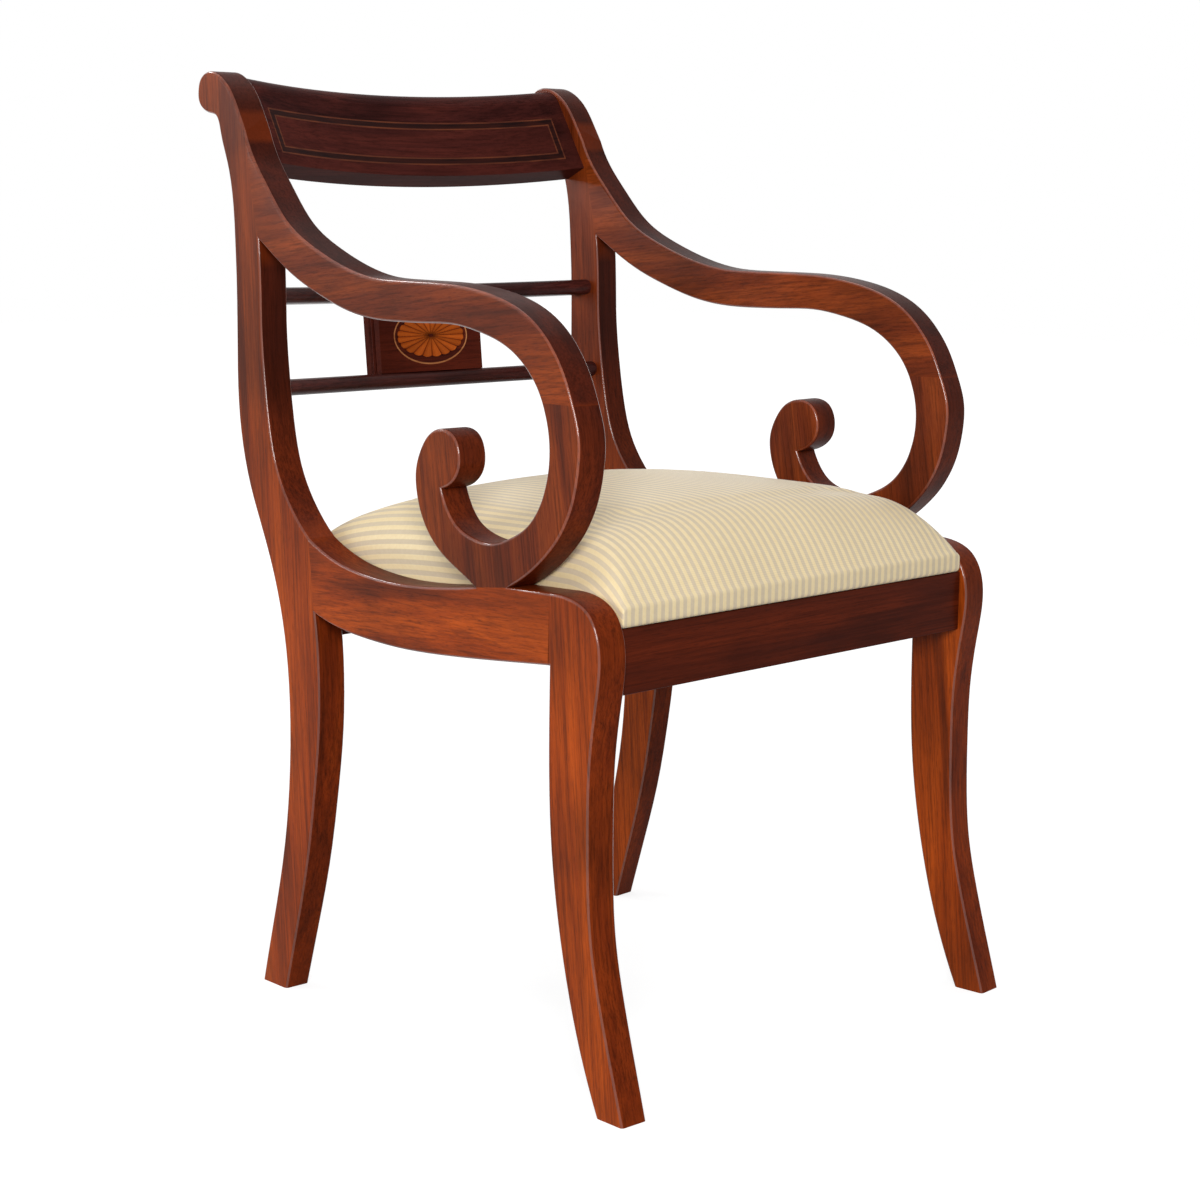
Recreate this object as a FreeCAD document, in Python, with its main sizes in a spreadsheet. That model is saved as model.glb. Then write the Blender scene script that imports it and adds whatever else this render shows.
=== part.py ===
import FreeCAD, Part
import math
import os
import Sketcher

V = FreeCAD.Vector
doc = FreeCAD.newDocument("scroll_arm_chair")

# Driving sizes in millimetres and degrees; +X is the sitter's left, -Y the front, Z up from the floor
SIZES = {
    # heights of the chair
    "back_height": 880,
    "arm_height": 693,
    "deck_height": 413,
    # side frames: flat, upright, wider apart at the front
    "half_width": 255.7,
    "splay": 3.07,
    "side_thick": 32,
    "front_taper": 3,
    "rear_taper": 2.5,
    # front leg
    "toe_reach": 315,
    "toe_depth": 32.5,
    "leg_seam": 218,
    "knee_depth": 62,
    "calf_depth": 51,
    # back post
    "heel_reach": 197,
    "heel_depth": 38.5,
    "rear_seam": 112,
    "seam_lean": 9,
    "hip_depth": 86,
    "back_line": 199,
    "post_depth": 40,
    "head_throw": 80,
    "head_depth": 42,
    # side rail
    "rail_end_tall": 62,
    "rail_end_rise": 27,
    "rail_waist_tall": 59,
    # arm and its scroll
    "arm_thick": 36,
    "arm_reach": 242,
    "nose_depth": 38,
    "nose_drop": 94,
    "foot_reach": 164.5,
    "foot_depth": 45,
    "hub_back": 51.5,
    "hub_rise": 122,
    "breast_rise": 147,
    "throat_rise": 137,
    # front and rear seat rails
    "rail_thick": 27,
    "front_setback": 7,
    "front_rail_tall": 56.5,
    "rear_rail_tall": 65,
    "rear_rail_reach": 126,
    "tenon_thick": 10,
    "tenon_length": 20,
    "tenon_shoulder": 9,
    # crest rail
    "crest_drop": 85,
    "crest_forward": 20,
    "crest_lean": 28.4,
    "crest_thick": 25,
    "crest_bow": 23.5,
    "crest_neck": 47,
    "crest_roll": 20.5,
    "crest_roll_rise": 80,
    # stays and tablet
    "stay_tall": 16,
    "stay_thick": 24,
    "stay_lean": 6.5,
    "stay_bow": 24,
    "stay_setback": 2,
    "tablet_mid_height": 624.5,
    "tablet_tall": 72.5,
    "tablet_wide": 139,
    "tablet_thick": 23,
    "tablet_setback": 3,
    "bead_radius": 2.2,
    "bead_place": 11.5,
    # inlays
    "inlay_thick": 1.2,
    "string_wide": 1.6,
    "band_wide": 5.3,
    "crest_inlay_margin": 16.9,
    "crest_inlay_low": 12.5,
    "crest_inlay_tall": 49,
    "oval_wide": 101,
    "oval_tall": 59,
    "fan_wide": 91,
    "fan_tall": 44,
    "fan_eye": 6,
    "fan_petals": 20,
    "petal_gap": 0.35,
    "petal_thick": 0.8,
    # corner blocks, bearers and screws
    "block_leg": 48,
    "block_tall": 35,
    "bearer_wide": 18,
    "bearer_tall": 20,
    "screw_shank": 4,
    "screw_head": 8,
    "screw_length": 32,
    "screw_bite": 14,
    # dowels and pins
    "dowel_width": 8,
    "dowel_length": 36,
    "pin_width": 6,
    "pin_length": 18,
    "fit_gap": 0.1,
    "end_gap": 1,
    # drop-in seat
    "seat_back_lap": 20,
    "seat_gap": 0.6,
    "rest_gap": 0.3,
    "cloth_gap": 0.2,
    "bar_wide": 45,
    "bar_thick": 20,
    "web_wide": 50,
    "web_thick": 1,
    "web_pitch": 115,
    "hem": 8,
    "hessian_thick": 0.8,
    "dust_thick": 0.8,
    "cover_thick": 1.5,
    "band_height": 25.3,
    "crown_rise": 61.5,
    "edge_rise": 4,
    "tack_inboard": 12,
    "tack_head": 7,
    "tack_head_thick": 0.8,
    "tack_shank": 1.8,
    "tack_length": 8,
}

sheet = doc.addObject("Spreadsheet::Sheet", "sizes")
for row, (alias, value) in enumerate(SIZES.items(), 1):
    sheet.set("A%d" % row, alias)
    sheet.set("B%d" % row, str(value))
    sheet.setAlias("B%d" % row, alias)
doc.recompute()


class Sheet:
    """The sheet's cells as plain numbers."""

    def __getattr__(self, alias):
        return float(sheet.get(alias))


s = Sheet()
SIDES = {"right": -1, "left": 1}
SPLAY_SLOPE = math.tan(math.radians(s.splay))
FACE_STRETCH = 1 / math.cos(math.radians(s.splay))
BEYOND = 2 * s.half_width

bores = {}
made = []


# Outlines

def at(y, z):
    """Point of a side view: distance behind the origin, height above the floor."""
    return V(y, z, 0)


def curve(*stops):
    """Smooth line; a pair is a share of the chord between its neighbours, and a rise off it."""
    points = []
    for index, stop in enumerate(stops):
        if not isinstance(stop, tuple):
            points.append(stop)
            continue
        start = [other for other in stops[:index] if not isinstance(other, tuple)][-1]
        end = [other for other in stops[index:] if not isinstance(other, tuple)][0]
        chord = end - start
        square = V(-chord.y, chord.x, 0).normalize()
        points.append(start + chord * stop[0] + square * stop[1])
    line = Part.BSplineCurve()
    line.interpolate(points)
    return line


def straight(start, end):
    return Part.LineSegment(start, end)


def polygon(*corners):
    return [straight(a, b) for a, b in zip(corners, corners[1:] + corners[:1])]


def rectangle(low_x, high_x, low_y, high_y):
    return polygon(V(low_x, low_y, 0), V(high_x, low_y, 0), V(high_x, high_y, 0), V(low_x, high_y, 0))


def inner_face(y):
    """Distance of a side frame's inner face from the middle of the chair."""
    return s.half_width - SPLAY_SLOPE * y - s.side_thick * FACE_STRETCH


# Sketches and features

def new_body(name, placement=FreeCAD.Placement()):
    body = doc.addObject("PartDesign::Body", name)
    body.Label = name
    body.AllowCompound = True
    body.Placement = placement
    return body


def add_sketch(body, role, geometry, name, offset=0, in_chair=False):
    """Sketch on a plane of its own body, or, in_chair, on that plane of the chair as a whole."""
    plane = [feature for feature in body.Origin.OriginFeatures if feature.Role == role][0]
    sketch = body.newObject("Sketcher::SketchObject", name)
    sketch.AttachmentSupport = [(plane, "")]
    sketch.MapMode = "FlatFace"
    lift = FreeCAD.Placement(V(0, 0, offset), FreeCAD.Rotation())
    if in_chair:
        lift = plane.Placement.inverse() * body.Placement.inverse() * plane.Placement * lift
    sketch.AttachmentOffset = lift
    sketch.addGeometry(geometry, False)
    join_ends(sketch)
    doc.recompute()
    return sketch


def join_ends(sketch):
    ends = []
    for index, line in enumerate(sketch.Geometry):
        if isinstance(line, (Part.Circle, Part.Ellipse)):
            continue
        for which in (1, 2):
            point = sketch.getPoint(index, which)
            for other, other_which, other_point in ends:
                if other != index and point.distanceToPoint(other_point) < 1e-5:
                    meeting = Sketcher.Constraint("Coincident", other, other_which, index, which)
                    sketch.addConstraint(meeting)
            ends.append((index, which, point))


def add_feature(body, kind, sketch, name, **settings):
    """Feature from a sketch. A setting given as words is an expression on the sheet."""
    feature = body.newObject("PartDesign::" + kind, name)
    feature.Profile = sketch
    for setting, value in settings.items():
        if isinstance(value, str) and setting in ("Length", "Angle"):
            feature.setExpression(setting, value)
        else:
            setattr(feature, setting, value)
    before = 0 if body.Shape.isNull() else body.Shape.Volume
    doc.recompute()
    if abs(body.Shape.Volume - before) < 1e-3:
        raise RuntimeError("%s of %s changes nothing" % (name, body.Label))
    return feature


def solid(kind, name, placement, **sizes_by_expression):
    piece = doc.addObject("Part::" + kind, name)
    for setting, expression in sizes_by_expression.items():
        piece.setExpression(setting, expression)
    piece.Placement = placement
    return piece


def pointing(place, direction):
    return FreeCAD.Placement(place, FreeCAD.Rotation(V(0, 0, 1), direction))


def finish(name, blank):
    """The blank, less the bores that its dowels, tenons and screws need."""
    if name in bores:
        blank.Label = name + "_blank"
        tools = doc.addObject("Part::Compound", name + "_bores")
        tools.Links = bores[name]
        piece = doc.addObject("Part::Cut", name)
        piece.Base = blank
        piece.Tool = tools
    else:
        piece = blank
    piece.Label = name
    made.append(piece)
    return piece


def bore(tool, *names):
    for name in names:
        bores.setdefault(name, []).append(tool)


def gather(name, pieces):
    group = doc.addObject("Part::Compound", name)
    group.Links = pieces
    group.Label = name
    made.append(group)


# Dowels, pins, screws and tacks

def add_dowel(group, middle, direction, joined, width="dowel_width", length="dowel_length"):
    direction = V(direction).normalize()
    half = getattr(s, length) / 2
    group.append(solid("Cylinder", "dowel", pointing(middle - direction * half, direction),
                       Radius="sizes.%s / 2" % width, Height="sizes." + length))
    hole = solid("Cylinder", "dowel_hole", pointing(middle - direction * (half + s.end_gap), direction),
                 Radius="sizes.%s / 2 + sizes.fit_gap" % width,
                 Height="sizes.%s + 2 * sizes.end_gap" % length)
    bore(hole, *joined)


def add_screw(group, head_place, direction, joined):
    """Countersunk screw; head_place is the middle of the head's flat top."""
    direction = V(direction).normalize()
    shank = solid("Cylinder", "shank", pointing(head_place, direction),
                  Radius="sizes.screw_shank / 2", Height="sizes.screw_length")
    head = solid("Cone", "head", pointing(head_place, direction), Radius1="sizes.screw_head / 2",
                 Radius2="sizes.screw_shank / 2", Height="(sizes.screw_head - sizes.screw_shank) / 2")
    screw = doc.addObject("Part::Fuse", "screw")
    screw.Base = shank
    screw.Tool = head
    group.append(screw)
    hole = solid("Cylinder", "screw_hole", pointing(head_place, direction),
                 Radius="sizes.screw_shank / 2 + sizes.fit_gap",
                 Height="sizes.screw_length + sizes.end_gap")
    seat = solid("Cone", "screw_seat", pointing(head_place, direction),
                 Radius1="sizes.screw_head / 2 + sizes.fit_gap",
                 Radius2="sizes.screw_shank / 2 + sizes.fit_gap",
                 Height="(sizes.screw_head - sizes.screw_shank) / 2")
    well = solid("Cylinder", "screw_well", pointing(head_place - direction * s.block_leg, direction),
                 Radius="sizes.screw_head / 2 + sizes.fit_gap", Height="sizes.block_leg")
    for tool in (hole, seat, well):
        bore(tool, *joined)


# Named points of the side view
deck = s.deck_height
toe = at(-s.toe_reach, 0)
toe_back = at(-s.toe_reach + s.toe_depth, 0)
leg_top = at(-s.leg_seam, deck + s.rail_end_rise)
leg_low = at(-s.leg_seam, leg_top.y - s.rail_end_tall)
knee = at(-s.leg_seam - s.knee_depth, deck - 18)
calf = at(-s.leg_seam - s.calf_depth, 0.6 * deck)

heel = at(s.heel_reach, 0)
heel_front = at(s.heel_reach - s.heel_depth, 0)
seat_low = at(s.rear_seam, deck - 37)
seat_high = at(s.rear_seam + s.seam_lean, deck + 33)
hip = at(s.rear_seam + s.hip_depth, deck + 36)
waist = at(s.back_line + s.post_depth, s.arm_height - 8)
crotch = at(s.back_line + 3, s.arm_height + 29)
feather = at(s.back_line + 25, s.arm_height + 0.7 * (s.back_height - s.arm_height))
head_top = at(s.back_line + s.head_throw, s.back_height)
head_notch = at(head_top.x - 6, s.back_height - s.head_depth)

rail_waist = at(-6, deck + 8)
rail_waist_low = at(-6, rail_waist.y - s.rail_waist_tall)
foot_front = at(-s.foot_reach, deck + 24.5)
foot_back = at(-s.foot_reach + s.foot_depth, deck + 19)

arm_mid = at(-53, s.arm_height)
arm_mid_low = at(-53, arm_mid.y - s.arm_thick)
arm_rise = at(62, s.arm_height + 7)
arm_rise_low = at(62, arm_rise.y - s.arm_thick - 3)
nose = at(-s.arm_reach, s.arm_height - s.nose_drop)
nose_back = at(-s.arm_reach + s.nose_depth, nose.y)
breast = at(nose.x - 10, deck + s.breast_rise)
throat = at(nose_back.x - 10, deck + s.throat_rise)
bowl = at(foot_front.x + 20.5, foot_front.y + 36)
hub = at(foot_back.x + s.hub_back, deck + s.hub_rise)


def from_hub(back, rise):
    return at(hub.x + back, hub.y + rise)


def from_head(back, rise):
    return at(head_top.x + back, head_top.y + rise)


scroll_notch = from_hub(-4.5, -22)

# Lines that two pieces share
leg_seam_line = straight(leg_low, leg_top)
post_seam_line = straight(seat_low, seat_high)
foot_line = straight(foot_front, foot_back)
nose_line = straight(nose, nose_back)
lap_line = curve(crotch, (0.3, -1), (0.65, -1), feather)

# Outline of each piece of a side frame: its seams and soles, then the lines that show
OUTLINES = {
    "front_leg": ([leg_seam_line, straight(toe_back, toe)], [
        curve(leg_low, (0.18, 11.5), (0.4, 21.5), (0.6, 22.5), (0.8, 16), toe_back),
        curve(toe, (0.2, -5.5), (0.4, -10.5), (0.6, -12.5), (0.8, -8), calf, (0.35, -3), (0.7, -0.5), knee,
              at(knee.x + 4.5, knee.y + 19), at(knee.x + 15, knee.y + 34),
              at(knee.x + 34, leg_top.y - 2), leg_top),
    ]),
    "side_rail": ([leg_seam_line, post_seam_line, foot_line], [
        straight(leg_top, foot_front),
        curve(foot_back, (0.5, -2), rail_waist, (0.3, -6), (0.6, -8), (0.83, -5), seat_high),
        curve(leg_low, (0.3, -1.5), (0.65, -2.5), rail_waist_low, (0.35, -3.5), (0.65, -4.5), seat_low),
    ]),
    "back_post": ([post_seam_line, lap_line, straight(heel_front, heel)], [
        curve(heel_front, (0.18, 10), (0.36, 18.5), (0.54, 21.5), (0.7, 21), (0.84, 15), (0.93, 8),
              seat_low),
        curve(seat_high, (0.12, -20.5), (0.25, -32), (0.4, -32.5), (0.55, -27.5), (0.7, -20), (0.86, -8.5),
              crotch),
        curve(heel, (0.15, 18), (0.3, 34.5), (0.45, 44), (0.6, 46), (0.75, 39.5), (0.9, 20.5), hip,
              (0.15, -10.5), (0.3, -16.5), (0.5, -17), (0.75, -9), waist,
              (0.2, 5), (0.45, 10), (0.7, 9), (0.88, 4.5), head_notch,
              from_head(5, -39.5), from_head(15, -36), from_head(22, -29), from_head(23.5, -18),
              from_head(20.5, -8), from_head(12.5, -1.5), head_top, (0.2, -7.5), (0.4, -9.5), (0.7, -6),
              feather),
    ]),
    "arm": ([lap_line, nose_line], [
        curve(feather, (0.12, 11), (0.3, 19.5), (0.52, 25.5), (0.75, 17.5), arm_rise,
              (0.3, 4), (0.6, 3), arm_mid,
              (0.15, -15), (0.3, -27), (0.45, -35.5), (0.6, -38.5), (0.75, -33.5), (0.9, -18.5), nose),
        curve(nose_back, (0.15, 15.5), (0.35, 23.5), (0.6, 20.5), (0.8, 13), arm_mid_low,
              (0.33, -2.5), (0.67, -3.5), arm_rise_low, (0.3, -6), (0.6, -7.5), (0.85, -3.5), crotch),
    ]),
    "arm_scroll": ([foot_line, nose_line], [
        curve(nose, (0.3, -2.5), (0.7, -3.5), breast, (0.2, -15.5), (0.4, -22.5), (0.6, -20.5), (0.8, -13),
              foot_front),
        curve(foot_back, from_hub(-27.5, -91), from_hub(-1.5, -76.5), from_hub(20, -53.5),
              from_hub(30.5, -26.5), from_hub(31.5, -9), from_hub(25.5, 9), from_hub(11.5, 26),
              from_hub(-5.5, 31), from_hub(-20, 27), from_hub(-29.5, 7.5), from_hub(-26.5, -7),
              from_hub(-15, -18), scroll_notch),
        curve(scroll_notch, from_hub(-12, -37), from_hub(-24, -50.5), from_hub(-43, -59), bowl,
              (0.2, 11.5), (0.4, 18), (0.6, 18), (0.8, 12.5), throat, (0.5, 3.5), nose_back),
    ]),
}


def side_placement(side):
    """Places a side frame, drawn with x measured inward from its outer face."""
    return FreeCAD.Placement(V(side * s.half_width, 0, 0), FreeCAD.Rotation(V(0, 0, 1), side * s.splay))


def in_side_frame(side, inward, y, z):
    """A place given from a side frame's outer face, as a place in the chair."""
    return side_placement(side).multVec(V(-side * inward, y, z))


def leg_wedge(side, face, taper, top):
    """Section of the thin wedge that tapers a leg, from nothing at its top; face is measured inward."""
    waste = -s.side_thick if taper > 0 else 2 * s.side_thick
    high = V(-side * face, top, 0)
    middle = V(-side * (face + taper / 4), top / 2, 0)
    low = V(-side * (face + taper), 0, 0)
    return [Part.Arc(high, middle, low)] + polygon(low, V(low.x, -5, 0), V(-side * waste, -5, 0),
                                                   V(-side * waste, top, 0), high)[:-1]


def make_side_piece(side_name, piece):
    side = SIDES[side_name]
    seams, shown = OUTLINES[piece]
    body = new_body(side_name + "_" + piece, side_placement(side))
    outline = add_sketch(body, "YZ_Plane", seams + shown, "outline")
    add_feature(body, "Pad", outline, "thickness", Length="sizes.side_thick", Reversed=side > 0)
    if piece == "front_leg":
        wedge = add_sketch(body, "XZ_Plane", leg_wedge(side, 0, s.front_taper, leg_low.y), "taper")
        add_feature(body, "Pocket", wedge, "tapering", Type="ThroughAll", Reversed=True)
    if piece == "back_post":
        outer = leg_wedge(side, 0, s.rear_taper, seat_low.y)
        inner = leg_wedge(side, s.side_thick, -s.rear_taper, seat_low.y)
        wedge = add_sketch(body, "XZ_Plane", outer + inner, "taper")
        add_feature(body, "Pocket", wedge, "tapering", Type="ThroughAll")
    return body


def make_side_frames():
    for side_name, side in SIDES.items():
        for piece in OUTLINES:
            blanks[side_name + "_" + piece] = make_side_piece(side_name, piece)
        core = s.side_thick / 2
        joints = [
            (seat_joint(0.27), V(0, 1, 0), "back_post", "side_rail"),
            (seat_joint(0.73), V(0, 1, 0), "back_post", "side_rail"),
            (leg_low + (leg_top - leg_low) * 0.25, V(0, 1, 0), "front_leg", "side_rail"),
            (leg_low + (leg_top - leg_low) * 0.78, V(0, 1, 0), "front_leg", "side_rail"),
            ((foot_front + foot_back) / 2, V(0, 0, 1), "arm_scroll", "side_rail"),
            ((nose + nose_back) / 2, V(0, 0, 1), "arm_scroll", "arm"),
            (crotch + (feather - crotch) * 0.3, V(0, 1, 0), "arm", "back_post"),
        ]
        turn = side_placement(side).Rotation
        for place, direction, first, second in joints:
            add_dowel(frame_dowels, in_side_frame(side, core, place.x, place.y), turn.multVec(direction),
                      (side_name + "_" + first, side_name + "_" + second))


def seat_joint(share):
    return seat_low + (seat_high - seat_low) * share


# Seat rails

rail_face = -(s.leg_seam + s.knee_depth - s.front_setback)
RAILS = {
    "front_rail": (rail_face, s.front_rail_tall, "front_leg"),
    "rear_rail": (s.rear_rail_reach, s.rear_rail_tall, "back_post"),
}
front_rail_back = rail_face + s.rail_thick


def make_rail(name):
    """Straight rail between the side frames, with a tenon at each end."""
    face, tall, leg = RAILS[name]
    back = face + s.rail_thick
    middle = face + s.rail_thick / 2
    low = deck - tall + s.tenon_shoulder
    high = deck - s.tenon_shoulder
    body = new_body(name)
    plan = add_sketch(body, "XY_Plane", between_sides(face, back), "plan", offset=deck - tall)
    add_feature(body, "Pad", plan, "height", Length="sizes.%s_tall" % name)
    end = rectangle(middle - s.tenon_thick / 2, middle + s.tenon_thick / 2, low, high)
    tenon = add_sketch(body, "YZ_Plane", end, "tenon")
    reach = inner_face(middle) + s.tenon_length
    add_feature(body, "Pad", tenon, "tenons", Length=2 * reach, Midplane=True)
    for side_name, side in SIDES.items():
        corner = V(reach - 2 * s.tenon_length, middle - s.tenon_thick / 2 - s.fit_gap, low - s.fit_gap)
        if side < 0:
            corner.x = -reach - s.end_gap
        mortise = solid("Box", "mortise", FreeCAD.Placement(corner, FreeCAD.Rotation()),
                        Length="2 * sizes.tenon_length + sizes.end_gap",
                        Width="sizes.tenon_thick + 2 * sizes.fit_gap",
                        Height="sizes.%s_tall - 2 * sizes.tenon_shoulder + 2 * sizes.fit_gap" % name)
        bore(mortise, side_name + "_" + leg)
    blanks[name] = body


def between_sides(low_y, high_y, inset=0):
    """Plan of what lies between the side frames, inset from their inner faces."""
    near = inner_face(low_y) - inset
    far = inner_face(high_y) - inset
    return polygon(V(-near, low_y, 0), V(near, low_y, 0), V(far, high_y, 0), V(-far, high_y, 0))


# Bowed pieces of the back

def bow_frame(y, z, lean, bow, up=0):
    """Placement on the axis of a bow whose ends meet the side frames at y, and the bow's radius."""
    half_chord = inner_face(y)
    radius = (half_chord ** 2 + bow ** 2) / (2 * bow)
    tilt = FreeCAD.Rotation(V(1, 0, 0), -lean)
    base = V(0, y, z) + tilt.multVec(V(0, bow - radius, up))
    return FreeCAD.Placement(base, tilt), radius, math.degrees(math.asin(half_chord / radius))


def turn_section(body, kind, geometry, name, angle):
    section = add_sketch(body, "YZ_Plane", geometry, name)
    return add_feature(body, kind, section, name + "_turned", ReferenceAxis=(section, ["V_Axis"]),
                       Midplane=True, Angle=angle)


def trim_to_sides(body):
    """Cuts what passes the inner faces of the side frames."""
    waste = []
    for side in SIDES.values():
        waste += polygon(V(side * inner_face(0), 0, 0), V(side * inner_face(BEYOND), BEYOND, 0),
                         V(side * BEYOND, BEYOND, 0), V(side * BEYOND, 0, 0))
    ends = add_sketch(body, "XY_Plane", waste, "ends", in_chair=True)
    add_feature(body, "Pocket", ends, "ends_cut", Type="ThroughAll", Reversed=True)


crest_y = s.back_line + s.crest_forward
crest_z = s.back_height - s.crest_drop
crest_frame, crest_radius, crest_half_angle = bow_frame(crest_y, crest_z, s.crest_lean, s.crest_bow)
inlay_wide = 2 * s.string_wide + s.band_wide


def crest_panel(inset, proud, depth):
    """Section of the inlaid field of the crest, inset from the outer string."""
    low = s.crest_inlay_low + inset
    high = s.crest_inlay_low + s.crest_inlay_tall - inset
    return rectangle(crest_radius - proud, crest_radius + depth, low, high)


def panel_angle(inset):
    return 2 * math.degrees((inner_face(crest_y) - s.crest_inlay_margin - inset) / crest_radius)


def make_crest():
    """Rail with a rolled top, bowed backwards, with a sunk border for its inlay."""
    face = crest_radius
    roll = V(face + s.crest_roll, s.crest_roll_rise, 0)

    def on_roll(angle):
        turned = math.radians(angle)
        return roll + V(math.cos(turned), math.sin(turned), 0) * s.crest_roll

    neck = V(face + s.crest_thick, s.crest_neck, 0)
    section = [
        straight(V(face, 0, 0), on_roll(180)),
        Part.Arc(on_roll(180), on_roll(135), on_roll(90)),
        Part.Arc(on_roll(90), on_roll(10), on_roll(-72)),
        straight(on_roll(-72), neck),
        straight(neck, V(face + s.crest_thick, 0, 0)),
        straight(V(face + s.crest_thick, 0, 0), V(face, 0, 0)),
    ]
    body = new_body("crest_rail", crest_frame)
    turn_section(body, "Revolution", section, "section", 2 * crest_half_angle + 6)
    trim_to_sides(body)
    turn_section(body, "Groove", crest_panel(0, s.inlay_thick, s.inlay_thick), "border", panel_angle(0))
    field = crest_panel(inlay_wide, 0, 2 * s.inlay_thick)
    turn_section(body, "Revolution", field, "field", panel_angle(inlay_wide))
    blanks["crest_rail"] = body
    for side_name, side in SIDES.items():
        for share in (0.25, 0.55):
            place = V(0, crest_y, crest_z) + crest_frame.Rotation.multVec(
                V(0, s.crest_thick / 2, share * s.crest_roll_rise))
            place.x = side * inner_face(place.y)
            add_dowel(frame_dowels, place, V(1, 0, 0), ("crest_rail", side_name + "_back_post"))


def make_crest_border(name, inset, wide):
    """One rectangular ring of the crest's inlay."""
    body = new_body(name, crest_frame)
    turn_section(body, "Revolution", crest_panel(inset, 0, s.inlay_thick), "ring", panel_angle(inset))
    opening = crest_panel(inset + wide, s.inlay_thick, 2 * s.inlay_thick)
    turn_section(body, "Groove", opening, "opening", panel_angle(inset + wide))
    blanks[name] = body


stay_y = s.back_line + s.stay_setback


def make_stay(name, above):
    """Slim bar with a round front, bowed backwards like the crest."""
    up = above * (s.tablet_tall + s.stay_tall) / 2
    frame, face, half_angle = bow_frame(stay_y, s.tablet_mid_height, s.stay_lean, s.stay_bow, up)
    radius = s.stay_tall / 2
    back = face + s.stay_thick
    section = [
        Part.Arc(V(face + radius, radius, 0), V(face, 0, 0), V(face + radius, -radius, 0)),
        straight(V(face + radius, -radius, 0), V(back, -radius, 0)),
        straight(V(back, -radius, 0), V(back, radius, 0)),
        straight(V(back, radius, 0), V(face + radius, radius, 0)),
    ]
    body = new_body(name, frame)
    turn_section(body, "Revolution", section, "section", 2 * half_angle + 6)
    trim_to_sides(body)
    blanks[name] = body
    for side_name, side in SIDES.items():
        place = V(0, stay_y, s.tablet_mid_height) + frame.Rotation.multVec(V(0, s.stay_thick / 2, up))
        place.x = side * inner_face(place.y)
        add_dowel(frame_dowels, place, V(1, 0, 0), (name, side_name + "_back_post"))


# Tablet and its oval

tablet_frame = FreeCAD.Placement(V(0, stay_y, s.tablet_mid_height),
                                 FreeCAD.Rotation(V(1, 0, 0), -s.stay_lean))
tablet_face = s.stay_bow + s.tablet_setback


def make_tablet():
    """Flat block between the stays, with a sunk bead down each end."""
    half = s.tablet_wide / 2
    back = tablet_face + s.tablet_thick
    bead = tablet_face + s.bead_place
    radius = s.bead_radius
    outline = [straight(V(-half, tablet_face, 0), V(half, tablet_face, 0)),
               straight(V(half, back, 0), V(-half, back, 0))]
    for end in (-half, half):
        sunk = end - math.copysign(radius, end)
        outline += [
            straight(V(end, tablet_face, 0), V(end, bead - 2 * radius, 0)),
            straight(V(end, bead - 2 * radius, 0), V(sunk, bead - radius, 0)),
            Part.Arc(V(sunk, bead - radius, 0), V(end, bead, 0), V(sunk, bead + radius, 0)),
            straight(V(sunk, bead + radius, 0), V(end, bead + 2 * radius, 0)),
            straight(V(end, bead + 2 * radius, 0), V(end, back, 0)),
        ]
    body = new_body("tablet", tablet_frame)
    plan = add_sketch(body, "XY_Plane", outline, "plan")
    add_feature(body, "Pad", plan, "height", Length="sizes.tablet_tall", Midplane=True)
    oval = add_sketch(body, "XZ_Plane", [oval_line(s.oval_wide, s.oval_tall)], "oval", offset=-tablet_face)
    add_feature(body, "Pocket", oval, "oval_recess", Length="sizes.inlay_thick")
    blanks["tablet"] = body
    for across in (-0.3, 0.3):
        for above, stay in ((1, "upper_stay"), (-1, "lower_stay")):
            place = V(across * s.tablet_wide, tablet_face + s.tablet_thick / 2, above * s.tablet_tall / 2)
            add_dowel(tablet_pins, tablet_frame.multVec(place), tablet_frame.Rotation.multVec(V(0, 0, 1)),
                      ("tablet", stay), "pin_width", "pin_length")


def oval_line(wide, tall):
    return Part.Ellipse(V(0, 0, 0), wide / 2, tall / 2)


def make_oval_piece(name, geometry, depth):
    """Piece of the oval inlay, flush with the tablet's face."""
    body = new_body(name, tablet_frame)
    outline = add_sketch(body, "XZ_Plane", geometry, "outline", offset=-tablet_face - getattr(s, depth))
    add_feature(body, "Pad", outline, "veneer", Length="sizes." + depth)
    blanks[name] = body
    return body


def make_oval():
    inner_wide = s.oval_wide - 2 * s.string_wide
    inner_tall = s.oval_tall - 2 * s.string_wide
    rim = 2 * s.petal_gap
    ring = [oval_line(s.oval_wide, s.oval_tall), oval_line(inner_wide, inner_tall)]
    make_oval_piece("tablet_oval_string", ring, "inlay_thick")
    ground = make_oval_piece("tablet_ground", [oval_line(inner_wide, inner_tall)], "inlay_thick")
    bed = add_sketch(ground, "XZ_Plane", [oval_line(s.fan_wide + rim, s.fan_tall + rim),
                                          oval_line(s.fan_eye, s.fan_eye / 2)], "bed", offset=-tablet_face)
    add_feature(ground, "Pocket", bed, "fan_bed", Length="sizes.petal_thick")
    petals = []
    count = int(s.fan_petals)
    for index in range(count):
        petals += petal(2 * math.pi * index / count, 2 * math.pi * (index + 1) / count)
    make_oval_piece("tablet_fan", petals, "petal_thick")


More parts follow.
